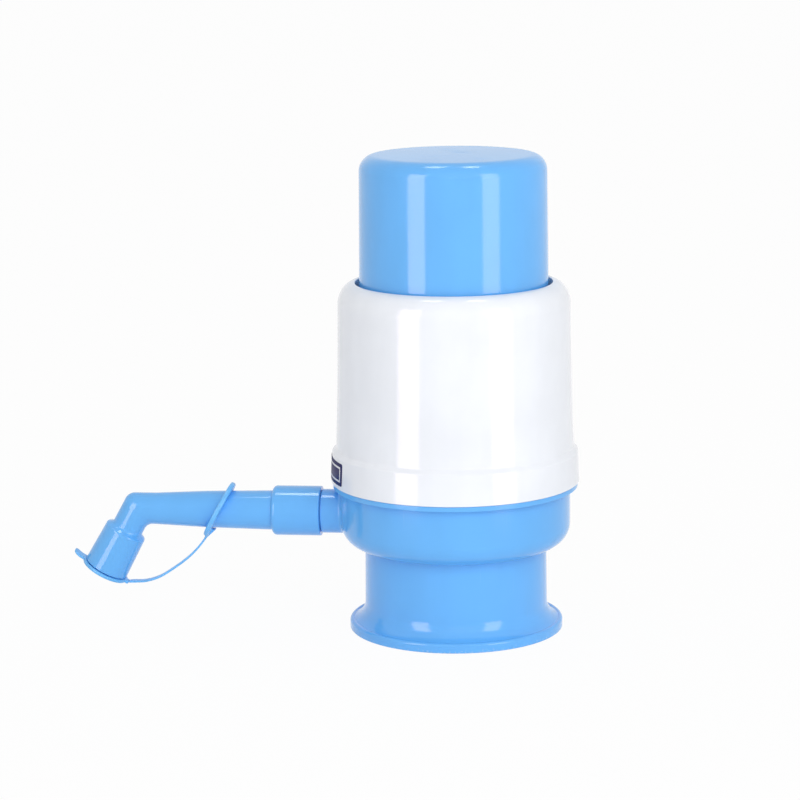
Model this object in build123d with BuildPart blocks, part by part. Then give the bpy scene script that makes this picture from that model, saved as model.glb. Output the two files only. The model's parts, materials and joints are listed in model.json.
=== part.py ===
"""Hand pump for a water jug: press cap, housing, bellows pump, neck clamp and swivelling spout.

Millimetres, +Z up. The origin is the centre of the foot, on the surface that the pump stands on.
The spout points along -X. A distance called "reach" is measured from the pump's axis along -X.
"""

import os
from math import cos, radians, sin

from build123d import *

os.makedirs("parts", exist_ok=True)

# ---------------------------------------------------------------- fits
seam = 0.3  # gap that shows between two fixed mouldings
loose = 0.3  # radial or axial play between pieces that move past each other
snug = 0.15  # radial play of a turning or plugged joint
slip = 0.05  # play of a pushed-in pipe, a screw in its hole or a seal in its groove
seal_play = 0.12  # gap between a seal and the wall that turns on it
stem_play = 0.2  # radial play of a valve's stem in its hole

# ---------------------------------------------------------------- neck of the jug, which the radii follow
guide_bore_r = 27.8  # takes the neck of the jug
guide_length = 10.0
guide_wall = 2.8
clamp_room = 8.8  # for the seal and its squeeze ring round the neck
collar_neck_r = guide_bore_r + clamp_room
lip_bore_r = collar_neck_r + loose

# ---------------------------------------------------------------- base bowl, which the heights follow
bowl_bottom_z = 36.0
bowl_overhang = 11.5  # of the bowl over the collar's neck
bowl_r = collar_neck_r + bowl_overhang
bowl_wall = 2.5
bowl_bore_r = bowl_r - bowl_wall
bowl_corner_r = 9.0
bowl_depth = 25.5  # from the bottom up to the seat of the valve deck
deck_seat_z = bowl_bottom_z + bowl_depth
deck_seat_width = 1.0
rim_height = 1.95
rim_above_deck = 1.2
rim_top_z = deck_seat_z + rim_above_deck
upstand_height = 10.0
upstand_wall = 2.7
upstand_top_z = rim_top_z + upstand_height
upstand_bore_r = bowl_bore_r + deck_seat_width
upstand_r = upstand_bore_r + upstand_wall
snap_bead = 0.45  # how far a snap bead stands out
snap_bead_height = 1.6
snap_below_top = 4.8  # from the top of the upstand down to its snap bead
post_r = 3.6
post_inset = 5.8  # of the posts' centres from the bowl's outside
post_circle_r = bowl_r - post_inset
post_angle = 45.0

# ---------------------------------------------------------------- housing
flange_overhang = 3.85  # of the flange over the bowl
flange_taper = 0.55
flange_low_r = bowl_r + flange_overhang
flange_top_r = flange_low_r - flange_taper
flange_height = 13.0
flange_bottom_z = rim_top_z + seam
flange_top_z = flange_bottom_z + flange_height
flange_corner_r = 1.4
flange_step_width = 1.7
flange_step_height = 1.8
rim_edge_inset = 0.65  # of the bowl's rim under the flange
rim_edge_r = flange_low_r - rim_edge_inset
housing_wall = 2.4
housing_taper = 1.4
housing_mid_taper = 0.95  # half way up the wall, which is a little hollow
housing_height = 69.2  # from the step up to the opening
housing_low_r = flange_top_r - flange_step_width
housing_bulge_r = housing_low_r - housing_mid_taper
housing_high_r = housing_low_r - housing_taper
housing_low_z = flange_top_z + flange_step_height
housing_top_z = housing_low_z + housing_height
housing_shoulder_width = 7.4
housing_shoulder_height = 9.4
opening_r = housing_high_r - housing_shoulder_width
sleeve_height = 15.5
sleeve_wall = 1.9
stop_rib_out = 3.3
stop_rib_reach = housing_low_r - housing_wall - stop_rib_out
stop_rib_height = 9.0
stop_rib_thickness = 1.6
stop_rib_count = 6
stop_rib_gap = 1.2  # over the bowl's upstand

# ---------------------------------------------------------------- label on the flange
label_thickness = 0.2
label_standoff = 0.03
label_margin_low = 2.0
label_margin_high = 1.6
label_low_z = flange_bottom_z + label_margin_low
label_high_z = flange_top_z - label_margin_high
label_half_angle = 31.0

# ---------------------------------------------------------------- press cap
cap_gap = 1.6  # between the skirt and the housing's opening
cap_taper = 0.6
cap_low_r = opening_r - cap_gap
cap_top_r = cap_low_r - cap_taper
cap_rise = 53.0  # of the cap over the housing
cap_top_z = housing_top_z + cap_rise
cap_edge_r = 6.5
cap_wall = 2.4
cap_flange_out = 6.2  # how far the retaining flange stands out of the skirt
cap_flange_height = 3.0
cap_post_height = 8.1
cap_post_r = 3.2

# ---------------------------------------------------------------- clamp collar, squeeze ring and neck seal
collar_neck_wall = 1.3
collar_bore_r = collar_neck_r - collar_neck_wall
collar_ridge_out = 1.7
collar_ridge_height = 1.0
collar_lead_in = 0.5
skirt_out = 1.5  # of the skirt over the collar's neck
skirt_taper = 0.25
skirt_top_r = collar_neck_r + skirt_out
skirt_low_r = skirt_top_r + skirt_taper
flare_width = 4.65
flare_top_z = 11.5
flare_end_r = skirt_low_r + flare_width
flare_end_z = 4.0
foot_bead_out = 1.85
foot_r = flare_end_r + foot_bead_out
foot_bead_z = 3.0
foot_bead_mid_out = 1.45
foot_bead_mid_z = 3.75
guide_drop = 10.0  # of the guide below the bowl's bottom
guide_bottom_z = bowl_bottom_z - guide_drop
squeeze_play = 0.8  # round the jug's neck
squeeze_gap = 0.4  # to the collar
squeeze_drop = 18.0  # of the squeeze ring's lower side below the guide
squeeze_bore_r = guide_bore_r + squeeze_play
squeeze_r = collar_bore_r - squeeze_gap
squeeze_bottom_z = guide_bottom_z - squeeze_drop
squeeze_height = 6.0
neck_seal_wall = 4.5
neck_seal_bore_r = guide_bore_r + loose
neck_seal_r = neck_seal_bore_r + neck_seal_wall
tongue_wall = 1.4
tongue_width = 12.0
tongue_reach_up = 2.0
key_count = 3
lug_out = 1.3
lug_height = 3.0
lug_width = 6.0
groove_pitch = 8.0
groove_turn = 126.0
groove_lead = 24.0  # degrees of groove before the lug's place at rest
entry_slot_width = 7.6

# ---------------------------------------------------------------- bellows, clamp rings and spring
top_plate_gap = 1.4  # between the plate and the inside of the press cap
top_plate_r = cap_low_r - cap_wall - top_plate_gap
top_plate_thickness = 3.0
top_plate_notch_r = 4.0
top_plate_notch_count = 6
bellows_inset = 1.5  # of the bellows under the plate's edge
bellows_r = top_plate_r - bellows_inset
bellows_fold = 5.3
bellows_wall = 1.7
bellows_fold_count = 9
bellows_flange = 2.5
bellows_flange_inset = 0.5
clamp_ring_gap = 0.6  # to the inside of the folds
clamp_ring_width = 7.4
clamp_ring_thickness = 2.5
clamp_ring_r = bellows_r - bellows_fold - bellows_wall - clamp_ring_gap
clamp_ring_bore_r = clamp_ring_r - clamp_ring_width
bellows_flange_bore_r = clamp_ring_bore_r + bellows_flange_inset
ring_screw_inset = 3.4
ring_screw_circle_r = clamp_ring_r - ring_screw_inset
ring_screw_angle = 45.0
spring_gap = 5.0  # between the spring's middle line and the clamp ring
spring_r = clamp_ring_bore_r - spring_gap
spring_wire_r = 0.9
spring_turns = 10
spring_rib_height = 2.0
spring_rib_wall = 1.4
spring_rib_r = spring_r - spring_wire_r - loose

# ---------------------------------------------------------------- disc valves
valve_disc_gap = 2.4  # to the rib that centres the spring
valve_disc_r = spring_rib_r - spring_rib_wall - valve_disc_gap
valve_disc_thickness = 1.2
valve_stem_r = 1.5
valve_lift = 1.5
valve_barb_r = 2.4
valve_barb_length = 1.6
port_r = 1.6
port_inset = 0.25  # of the ports from half way between the stem and the disc's edge
port_circle_r = (valve_stem_r + valve_disc_r) / 2 - port_inset
port_count = 4

# ---------------------------------------------------------------- outlet stub and spigot
spout_rise = 12.5  # of the spout's axis over the bowl's bottom
spout_z = bowl_bottom_z + spout_rise
stub_r = 9.25
stub_length = 8.3  # outside the bowl
stub_root = 1.6  # inside the bowl
stub_end = bowl_r + stub_length
stub_inner_end = bowl_bore_r - stub_root
spigot_r = 8.3
spigot_length = 17.6
spigot_end = stub_end + spigot_length
spigot_snap_place = 3.6  # from the stub's end to the snap bead
spigot_snap_reach = stub_end + spigot_snap_place
spigot_seal_place = 9.6  # from the stub's end to the seal
spigot_seal_reach = stub_end + spigot_seal_place
spigot_seal_wire_r = 0.65

# ---------------------------------------------------------------- valve deck
deck_thickness = 3.0
ring_wall_half = 1.8
ring_wall_r = guide_bore_r + ring_wall_half
ring_wall_bore_r = guide_bore_r - ring_wall_half
seal_seat_gap = 0.7  # to the collar
seal_seat_r = collar_bore_r - seal_seat_gap
seal_seat_height = 2.5
arm_r = 7.8
arm_gap = 4.1  # between the arm's end and the bowl's wall
arm_end = bowl_bore_r - arm_gap
dip_socket_r = 8.6
dip_socket_drop = 11.5  # below the spout's axis
dip_socket_bottom_z = spout_z - dip_socket_drop
dip_bore_r = 5.0  # takes the dip tube
dip_bush_wall = 1.5
dip_bush_length = 8.0
deck_boss_r = 3.4
deck_boss_length = 6.5

# ---------------------------------------------------------------- outlet pipe and its seal
pipe_r = 6.2
pipe_bore_r = 4.6
pipe_plug_length = 8.5  # in the deck's arm
pipe_inner_end = arm_end - pipe_plug_length
pipe_head_r = 7.9
pipe_head_length = 1.4
pipe_seal_wire_r = 0.5
pipe_seal_inset = 4.0  # of the seal from the arm's end
pipe_seal_reach = arm_end - pipe_seal_inset

# ---------------------------------------------------------------- screws
screw_r = 1.5
screw_head_r = 2.6
screw_head_height = 2.1
screw_slot_width = 0.7
screw_slot_depth = 0.8
ring_screw_length = 11.0
deck_screw_length = 12.0
screw_count = 4

# ---------------------------------------------------------------- spout
bell_r = 10.5
bell_length = 20.7
bell_edge = 1.7
bell_bore_slope = 1.4
tube_root_r = 8.35
tube_mid_r = 7.75
tube_mid_run = 28.6  # from the bell's end
elbow_r = 6.7
elbow_bore_r = 4.9
spout_root_bore_r = 6.2
corner_run = 58.3  # from the bell's end to where the axes of the tube and the nozzle meet
nozzle_angle = 61.0  # below the horizontal
nozzle_top = 11.1  # along the nozzle's axis, from that corner
nozzle_end = 29.9
nozzle_top_r = 8.95
nozzle_end_r = 9.55
nozzle_round = 0.9
nozzle_bore_r = 8.0
nozzle_bore_start = 14.5
nozzle_bore_shoulder = 1.8

# ---------------------------------------------------------------- dust cap and its strap
lid_gap = 0.3
lid_r = 10.3
lid_thickness = 1.5
lid_dish_r = 7.5
lid_dish_depth = 0.5
plug_r = 7.6
plug_tip_r = 7.0
plug_wall = 1.2
plug_length = 4.0
tab_reach = 15.3
tab_width = 4.2
tab_thickness = 1.2
tab_bend = 0.9
knuckle_offset = 0.5
knuckle_r = 0.75
strap_width = 3.2
strap_thickness = 0.8
strap_root_thickness = 1.8
strap_root_length = 4.0
strap_ring_r = 12.8
strap_ring_thickness = 2.1
strap_ring_run = 23.1  # from the bell's end
strap_ring_tilt = 28.5
strap_steps = [(4.3, 31.4), (13.1, 27.2), (28.5, 13.1)]  # its middle line, back and down from the corner

# ---------------------------------------------------------------- places that follow from the sizes
sleeve_bottom_z = housing_top_z - sleeve_height
cap_flange_top_z = sleeve_bottom_z - loose
cap_flange_bottom_z = cap_flange_top_z - cap_flange_height
cap_flange_r = cap_low_r + cap_flange_out
cap_roof_z = cap_top_z - cap_wall
press_travel = cap_flange_bottom_z - loose - stop_rib_height - stop_rib_gap - upstand_top_z
top_plate_top_z = cap_roof_z - cap_post_height
top_plate_z = top_plate_top_z - top_plate_thickness
bellows_top_z = top_plate_z
top_ring_z = bellows_top_z - bellows_flange - clamp_ring_thickness
deck_top_z = deck_seat_z + deck_thickness
base_ring_z = deck_top_z + bellows_flange
deck_r = upstand_bore_r - seam
guide_top_z = guide_bottom_z + guide_length
collar_top_z = bowl_bottom_z - seam
collar_ridge_z = bowl_bottom_z + bowl_wall + loose
squeeze_top_z = squeeze_bottom_z + squeeze_height
lug_r = squeeze_r + lug_out
groove_r = lug_r + loose
lug_mid_z = squeeze_bottom_z + squeeze_height / 2
tongue_r = neck_seal_r + loose + tongue_wall
screw_hole_r = screw_r + slip
bell_bore_r = spigot_r + snug
bell_start = stub_end + seam
bell_end = bell_start + bell_length
bell_bore_end = spigot_end + pipe_head_length + loose
seal_height_r = bell_bore_r - seal_play
spigot_groove_r = seal_height_r - 2 * spigot_seal_wire_r
arm_bore_r = pipe_r + slip
pipe_groove_r = arm_bore_r - slip - 2 * pipe_seal_wire_r
tube_mid_reach = bell_end + tube_mid_run
corner_reach = bell_end + corner_run
strap_ring_reach = bell_end + strap_ring_run
strap_points = [(corner_reach - back, spout_z - down) for back, down in strap_steps]
lid_start = nozzle_end + lid_gap
lid_end = lid_start + lid_thickness
hinge_along = lid_start + lid_thickness / 2
hinge_out = lid_r + knuckle_offset

# ---------------------------------------------------------------- planes and axes
spout_axis = Axis((0, 0, spout_z), (-1, 0, 0))
spout_side = Plane(origin=(0, 0, spout_z), x_dir=(-1, 0, 0), z_dir=(0, 1, 0))
across_spout = Plane(origin=(0, 0, spout_z), x_dir=(0, 1, 0), z_dir=(-1, 0, 0))
nozzle_way = Vector(-cos(radians(nozzle_angle)), 0, -sin(radians(nozzle_angle)))
nozzle_corner = Vector(-corner_reach, 0, spout_z)
nozzle_axis = Axis(nozzle_corner, nozzle_way)
nozzle_side = Plane(origin=nozzle_corner, x_dir=nozzle_way, z_dir=(0, -1, 0))
hinge_point = nozzle_side.from_local_coords((hinge_along, hinge_out, 0))
strap_side = Plane(origin=(0, 0, 0), x_dir=(-1, 0, 0), z_dir=(0, 1, 0))


def save(builder, name):
    """Label a finished sub-part and write it."""
    builder.part.label = name
    export_step(builder.part, f"parts/{name}.step")


def ring(bottom, height, outer, inner=0.0, mode=Mode.ADD):
    """A flat disc or ring about the pump's axis."""
    with BuildSketch(Plane.XY.offset(bottom)) as face:
        Circle(outer)
        if inner:
            Circle(inner, mode=Mode.SUBTRACT)
    return extrude(face.sketch, amount=height, mode=mode)


def turned(points, plane=Plane.XZ, axis=Axis.Z, mode=Mode.ADD):
    """A closed outline of (radius, height) or (along, radius) points, turned about an axis."""
    with BuildSketch(plane) as outline:
        with BuildLine():
            Polyline(*points, close=True)
        make_face()
    return revolve(outline.sketch, axis=axis, mode=mode)


def posts(bottom, height, radius, circle_r, angle, mode=Mode.ADD):
    """Four round posts, or the holes in them."""
    with BuildSketch(Plane.XY.offset(bottom)) as face:
        with PolarLocations(circle_r, screw_count, start_angle=angle):
            Circle(radius)
    return extrude(face.sketch, amount=height, mode=mode)


def screw_set(name, seat_z, way, length, circle_r, angle):
    """Four round-headed screws whose heads stand on seat_z and whose shanks run along way."""
    with BuildPart() as screws:
        posts(seat_z, way * length, screw_r, circle_r, angle)
        posts(seat_z, -way * screw_head_height, screw_head_r, circle_r, angle)
        with BuildSketch(Plane.XY.offset(seat_z - way * screw_head_height)) as slots:
            with PolarLocations(circle_r, screw_count, start_angle=angle):
                Rectangle(2 * screw_head_r, screw_slot_width)
        extrude(slots.sketch, amount=way * screw_slot_depth, mode=Mode.SUBTRACT)
    save(screws, name)


def mushroom(name, seat_z, plate_thickness):
    """A rubber disc that hangs under a plate on a barbed stem."""
    barb_z = seat_z + plate_thickness + valve_lift + loose
    top_z = barb_z + valve_barb_length
    outline = [
        (0, seat_z - valve_disc_thickness),
        (valve_disc_r, seat_z - valve_disc_thickness),
        (valve_disc_r, seat_z),
        (valve_stem_r, seat_z),
        (valve_stem_r, barb_z),
        (valve_barb_r, barb_z),
        (valve_stem_r, top_z),
        (0, top_z),
    ]
    with BuildPart() as valve:
        turned(outline)
    save(valve, name)


def keys(bottom, inner, outer, width, angle):
    """The evenly spaced keys, or the slots for them, between two radii about the pump's axis."""
    with BuildSketch(Plane.XY.offset(bottom)) as sectors:
        with PolarLocations(outer / 2, key_count, start_angle=angle):
            Rectangle(outer, width)
        Circle(outer, mode=Mode.INTERSECT)
        Circle(inner, mode=Mode.SUBTRACT)
    return sectors.sketch


def valve_holes(bottom, height):
    """The stem's hole and the air ports round it."""
    ring(bottom, height, valve_stem_r + stem_play, mode=Mode.SUBTRACT)
    with BuildSketch(Plane.XY.offset(bottom)) as ports:
        with PolarLocations(port_circle_r, port_count, start_angle=ring_screw_angle):
            Circle(port_r)
    extrude(ports.sketch, amount=height, mode=Mode.SUBTRACT)


def tube_radius(reach):
    """The outside of the spout's tube at a reach between its root and its middle."""
    share = (reach - bell_end) / (tube_mid_reach - bell_end)
    return tube_root_r + share * (tube_mid_r - tube_root_r)


# ================================================================ press cap
def cap_radius(height):
    """The outside of the slightly tapered skirt."""
    share = (cap_top_z - height) / (cap_top_z - cap_flange_bottom_z)
    return cap_top_r + share * (cap_low_r - cap_top_r)


with BuildPart() as press_cap:
    with BuildSketch(Plane.XZ) as cap_outline:
        with BuildLine():
            outer_start = (cap_top_r - cap_edge_r, cap_top_z)
            outer_end = (cap_radius(cap_top_z - cap_edge_r), cap_top_z - cap_edge_r)
            inner_edge_r = cap_edge_r - cap_wall
            inner_start = (cap_top_r - cap_edge_r, cap_roof_z)
            inner_end = (cap_radius(cap_top_z - cap_edge_r) - cap_wall, cap_top_z - cap_edge_r)
            Line((0, cap_top_z), outer_start)
            RadiusArc(outer_start, outer_end, cap_edge_r)
            Polyline(
                outer_end,
                (cap_radius(cap_flange_top_z), cap_flange_top_z),
                (cap_flange_r, cap_flange_top_z),
                (cap_flange_r, cap_flange_bottom_z),
                (cap_low_r - cap_wall, cap_flange_bottom_z),
                inner_end,
            )
            RadiusArc(inner_end, inner_start, -inner_edge_r)
            Polyline(inner_start, (0, cap_roof_z), (0, cap_top_z))
        make_face()
    revolve(axis=Axis.Z)
    posts(top_plate_top_z, cap_post_height, cap_post_r, ring_screw_circle_r, ring_screw_angle)
    posts(
        top_plate_top_z,
        cap_post_height - cap_wall,
        screw_hole_r,
        ring_screw_circle_r,
        ring_screw_angle,
        mode=Mode.SUBTRACT,
    )
save(press_cap, "press_cap")

# ================================================================ plate that closes the bellows' top
with BuildPart() as top_plate:
    ring(top_plate_z, top_plate_thickness, top_plate_r)
    ring(
        top_plate_z - spring_rib_height,
        spring_rib_height,
        spring_rib_r,
        spring_rib_r - spring_rib_wall,
    )
    with BuildSketch(Plane.XY.offset(top_plate_z)):
        with PolarLocations(top_plate_r, top_plate_notch_count):
            Circle(top_plate_notch_r)
    extrude(amount=top_plate_thickness, mode=Mode.SUBTRACT)
    valve_holes(top_plate_z, top_plate_thickness)
    posts(
        top_plate_z,
        top_plate_thickness,
        screw_hole_r,
        ring_screw_circle_r,
        ring_screw_angle,
        mode=Mode.SUBTRACT,
    )
save(top_plate, "top_plate")

mushroom("intake_valve", top_plate_z, top_plate_thickness)


# ================================================================ clamp rings of the bellows
def clamp_ring(name, bottom):
    """The flat ring that holds one end flange of the bellows."""
    with BuildPart() as clamp:
        ring(bottom, clamp_ring_thickness, clamp_ring_r, clamp_ring_bore_r)
        posts(
            bottom,
            clamp_ring_thickness,
            screw_hole_r,
            ring_screw_circle_r,
            ring_screw_angle,
            mode=Mode.SUBTRACT,
        )
    save(clamp, name)


clamp_ring("bellows_top_ring", top_ring_z)
clamp_ring("bellows_base_ring", base_ring_z)
screw_set(
    "top_ring_screws", top_ring_z, 1, ring_screw_length, ring_screw_circle_r, ring_screw_angle
)
screw_set(
    "base_ring_screws",
    base_ring_z + clamp_ring_thickness,
    -1,
    ring_screw_length,
    ring_screw_circle_r,
    ring_screw_angle,
)

# ================================================================ bellows
fold_bottom_z = deck_top_z + bellows_flange
fold_top_z = bellows_top_z - bellows_flange
half_fold = (fold_top_z - fold_bottom_z) / (2 * bellows_fold_count)
fold_places = range(2 * bellows_fold_count + 1)
fold_line = [
    (bellows_r - bellows_fold * (1 - step % 2), fold_bottom_z + step * half_fold)
    for step in fold_places
]
bellows_outline = [
    (bellows_flange_bore_r, deck_top_z),
    (fold_line[0][0], deck_top_z),
    *fold_line,
    (fold_line[-1][0], bellows_top_z),
    (bellows_flange_bore_r, bellows_top_z),
    (bellows_flange_bore_r, fold_top_z),
    *[(radius - bellows_wall, height) for radius, height in reversed(fold_line)],
    (bellows_flange_bore_r, fold_bottom_z),
]
with BuildPart() as bellows:
    turned(bellows_outline)
    for flange_z in (deck_top_z, fold_top_z):
        posts(
            flange_z,
            bellows_flange,
            screw_hole_r,
            ring_screw_circle_r,
            ring_screw_angle,
            mode=Mode.SUBTRACT,
        )
save(bellows, "bellows")

# ================================================================ return spring
spring_bottom_z = deck_top_z + spring_wire_r + slip
spring_height = top_plate_z - spring_wire_r - slip - spring_bottom_z
spring_pitch = spring_height / spring_turns
with BuildPart() as return_spring:
    with BuildLine():
        coil = Helix(spring_pitch, spring_height, spring_r, center=(0, 0, spring_bottom_z))
    with BuildSketch(Plane(origin=coil @ 0, z_dir=coil % 0)):
        Circle(spring_wire_r)
    sweep(path=coil, is_frenet=True)
print("spring: least gap between turns", round(spring_pitch - 2 * spring_wire_r, 2), "mm")
save(return_spring, "return_spring")


# ================================================================ housing
def flange_radius(height):
    """The outside of the slightly tapered flange."""
    share = (flange_top_z - height) / (flange_top_z - flange_bottom_z)
    return flange_top_r + share * (flange_low_r - flange_top_r)


shoulder_z = housing_top_z - housing_shoulder_height
housing_mid_z = (shoulder_z + housing_low_z) / 2
counterbore_r = upstand_r + seam
counterbore_top_z = upstand_top_z + seam
snap_groove_z = upstand_top_z - snap_below_top
with BuildPart() as housing:
    with BuildSketch(Plane.XZ) as housing_outline:
        with BuildLine():
            inner_top_z = housing_top_z - housing_wall
            EllipticalCenterArc(
                (opening_r, shoulder_z),
                housing_shoulder_width,
                housing_shoulder_height,
                start_angle=0,
                arc_size=90,
            )
            ThreePointArc(
                (housing_high_r, shoulder_z),
                (housing_bulge_r, housing_mid_z),
                (housing_low_r, housing_low_z),
            )
            Polyline(
                (housing_low_r, housing_low_z),
                (flange_top_r, flange_top_z),
                (flange_low_r, flange_bottom_z),
                (counterbore_r, flange_bottom_z),
                (counterbore_r, counterbore_top_z),
                (housing_low_r - housing_wall, counterbore_top_z),
                (housing_low_r - housing_wall, housing_low_z),
            )
            ThreePointArc(
                (housing_low_r - housing_wall, housing_low_z),
                (housing_bulge_r - housing_wall, housing_mid_z),
                (housing_high_r - housing_wall, shoulder_z),
            )
            Polyline(
                (housing_high_r - housing_wall, shoulder_z),
                (opening_r + sleeve_wall, inner_top_z),
                (opening_r + sleeve_wall, sleeve_bottom_z),
                (opening_r, sleeve_bottom_z),
                (opening_r, housing_top_z),
            )
        make_face()
        flange_corner = housing_outline.vertices().sort_by_distance((flange_top_r, flange_top_z))
        fillet(flange_corner[0], flange_corner_r)
    revolve(axis=Axis.Z)
    groove_in = snap_bead + seam
    turned(
        [
            (counterbore_r - groove_in, snap_groove_z - groove_in),
            (counterbore_r + snap_bead, snap_groove_z),
            (counterbore_r + snap_bead, snap_groove_z + snap_bead_height),
            (counterbore_r - groove_in, snap_groove_z + snap_bead_height + groove_in),
        ],
        mode=Mode.SUBTRACT,
    )
    rib_top_z = cap_flange_bottom_z - press_travel - loose
    rib_root_r = housing_low_r - housing_wall / 2
    with BuildSketch(Plane.XY.offset(rib_top_z - stop_rib_height)):
        with PolarLocations((stop_rib_reach + rib_root_r) / 2, stop_rib_count):
            Rectangle(rib_root_r - stop_rib_reach, stop_rib_thickness)
    extrude(amount=stop_rib_height)
save(housing, "housing")

# ================================================================ label
label_inner_low = flange_radius(label_low_z) + label_standoff
label_inner_high = flange_radius(label_high_z) + label_standoff
with BuildPart() as front_label:
    with BuildSketch(Plane.XZ.rotated((0, 0, 180 - label_half_angle))):
        with BuildLine():
            Polyline(
                (label_inner_low, label_low_z),
                (label_inner_low + label_thickness, label_low_z),
                (label_inner_high + label_thickness, label_high_z),
                (label_inner_high, label_high_z),
                close=True,
            )
        make_face()
    revolve(axis=Axis.Z, revolution_arc=2 * label_half_angle)
save(front_label, "front_label")

# ================================================================ base bowl with the outlet stub
floor_top_z = bowl_bottom_z + bowl_wall
inner_corner_r = bowl_corner_r - bowl_wall
corner_start = (bowl_r - bowl_corner_r, bowl_bottom_z)
corner_end = (bowl_r, bowl_bottom_z + bowl_corner_r)
with BuildPart() as base_bowl:
    posts(
        floor_top_z - bowl_wall / 2,
        deck_seat_z - floor_top_z + bowl_wall / 2,
        post_r,
        post_circle_r,
        post_angle,
    )
    with BuildSketch(Plane.XZ):
        with BuildLine():
            Polyline((0, bowl_bottom_z), corner_start)
            RadiusArc(corner_start, corner_end, -bowl_corner_r)
            Polyline(corner_end, (bowl_r, deck_seat_z), (0, deck_seat_z), (0, bowl_bottom_z))
        make_face()
    revolve(axis=Axis.Z, mode=Mode.INTERSECT)
    with BuildSketch(Plane.XZ):
        with BuildLine():
            inner_corner_start = (bowl_bore_r, floor_top_z + inner_corner_r)
            inner_corner_end = (bowl_bore_r - inner_corner_r, floor_top_z)
            Line((lip_bore_r, bowl_bottom_z), corner_start)
            RadiusArc(corner_start, corner_end, -bowl_corner_r)
            Polyline(
                corner_end,
                (bowl_r, rim_top_z - rim_height),
                (rim_edge_r, rim_top_z - rim_height),
                (rim_edge_r, rim_top_z),
                (upstand_r, rim_top_z),
                (upstand_r, upstand_top_z),
                (upstand_bore_r, upstand_top_z),
                (upstand_bore_r, deck_seat_z),
                (bowl_bore_r, deck_seat_z),
                inner_corner_start,
            )
            RadiusArc(inner_corner_start, inner_corner_end, inner_corner_r)
            Polyline(inner_corner_end, (lip_bore_r, floor_top_z), (lip_bore_r, bowl_bottom_z))
        make_face()
    revolve(axis=Axis.Z)
    turned(
        [
            (upstand_r - snap_bead, snap_groove_z - snap_bead),
            (upstand_r + snap_bead, snap_groove_z + snap_bead),
            (upstand_r + snap_bead, snap_groove_z + snap_bead_height - snap_bead),
            (upstand_r - snap_bead, snap_groove_z + snap_bead_height + snap_bead),
        ]
    )
    posts(
        deck_seat_z - deck_screw_length,
        deck_screw_length,
        screw_hole_r,
        post_circle_r,
        post_angle,
        mode=Mode.SUBTRACT,
    )
    snap_crest_r = spigot_r + snap_bead
    turned(
        [
            (stub_inner_end, 0),
            (stub_inner_end, stub_r),
            (stub_end, stub_r),
            (stub_end, spigot_r),
            (spigot_snap_reach, spigot_r),
            (spigot_snap_reach + snap_bead, snap_crest_r),
            (spigot_snap_reach + snap_bead_height, snap_crest_r),
            (spigot_snap_reach + snap_bead_height + snap_bead, spigot_r),
            (spigot_seal_reach - spigot_seal_wire_r - slip, spigot_r),
            (spigot_seal_reach - spigot_seal_wire_r - slip, spigot_groove_r - slip),
            (spigot_seal_reach + spigot_seal_wire_r + slip, spigot_groove_r - slip),
            (spigot_seal_reach + spigot_seal_wire_r + slip, spigot_r),
            (spigot_end, spigot_r),
            (spigot_end, 0),
        ],
        plane=spout_side,
        axis=spout_axis,
    )
    with BuildSketch(across_spout.offset(stub_inner_end)):
        Circle(arm_bore_r)
    extrude(amount=spigot_end - stub_inner_end, mode=Mode.SUBTRACT)
save(base_bowl, "base_bowl")

# ================================================================ valve deck with the water passage
with BuildPart() as valve_deck:
    turned(
        [
            (0, deck_seat_z),
            (ring_wall_bore_r, deck_seat_z),
            (ring_wall_bore_r, guide_top_z),
            (guide_bore_r, guide_top_z),
            (guide_bore_r, guide_bottom_z),
            (seal_seat_r, guide_bottom_z),
            (seal_seat_r, guide_bottom_z + seal_seat_height),
            (guide_bore_r + guide_wall, guide_bottom_z + seal_seat_height),
            (guide_bore_r + guide_wall, guide_top_z),
            (ring_wall_r, guide_top_z + guide_wall),
            (ring_wall_r, deck_seat_z),
            (deck_r, deck_seat_z),
            (deck_r, deck_top_z),
            (0, deck_top_z),
        ]
    )
    ring(deck_top_z, spring_rib_height, spring_rib_r, spring_rib_r - spring_rib_wall)
    posts(
        deck_seat_z - deck_boss_length,
        deck_boss_length,
        deck_boss_r,
        ring_screw_circle_r,
        ring_screw_angle,
    )
    ring(dip_socket_bottom_z, spout_z - dip_socket_bottom_z, dip_socket_r)
    with Locations((0, 0, spout_z)):
        Sphere(dip_socket_r)
    with BuildSketch(across_spout):
        Circle(arm_r)
    extrude(amount=arm_end)
    with BuildSketch(across_spout):
        Circle(pipe_bore_r)
    extrude(amount=arm_end, mode=Mode.SUBTRACT)
    with BuildSketch(across_spout.offset(pipe_inner_end - loose)):
        Circle(arm_bore_r)
    extrude(amount=arm_end - pipe_inner_end + loose, mode=Mode.SUBTRACT)
    ring(dip_socket_bottom_z, spout_z - dip_socket_bottom_z, pipe_bore_r, mode=Mode.SUBTRACT)
    ring(dip_socket_bottom_z, dip_bush_length, dip_bore_r + dip_bush_wall, mode=Mode.SUBTRACT)
    valve_holes(deck_seat_z, deck_thickness)
    posts(
        deck_top_z - deck_screw_length,
        deck_screw_length,
        screw_hole_r,
        post_circle_r,
        post_angle,
        mode=Mode.SUBTRACT,
    )
    posts(
        deck_top_z - ring_screw_length,
        ring_screw_length,
        screw_hole_r,
        ring_screw_circle_r,
        ring_screw_angle,
        mode=Mode.SUBTRACT,
    )
    notch_r = tongue_r - tongue_wall - loose
    notches = keys(guide_bottom_z, notch_r, seal_seat_r + loose, tongue_width + 2 * loose, 0)
    extrude(notches, amount=seal_seat_height, mode=Mode.SUBTRACT)
save(valve_deck, "valve_deck")

screw_set("deck_screws", deck_top_z, -1, deck_screw_length, post_circle_r, post_angle)
mushroom("delivery_valve", deck_seat_z, deck_thickness)

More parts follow.
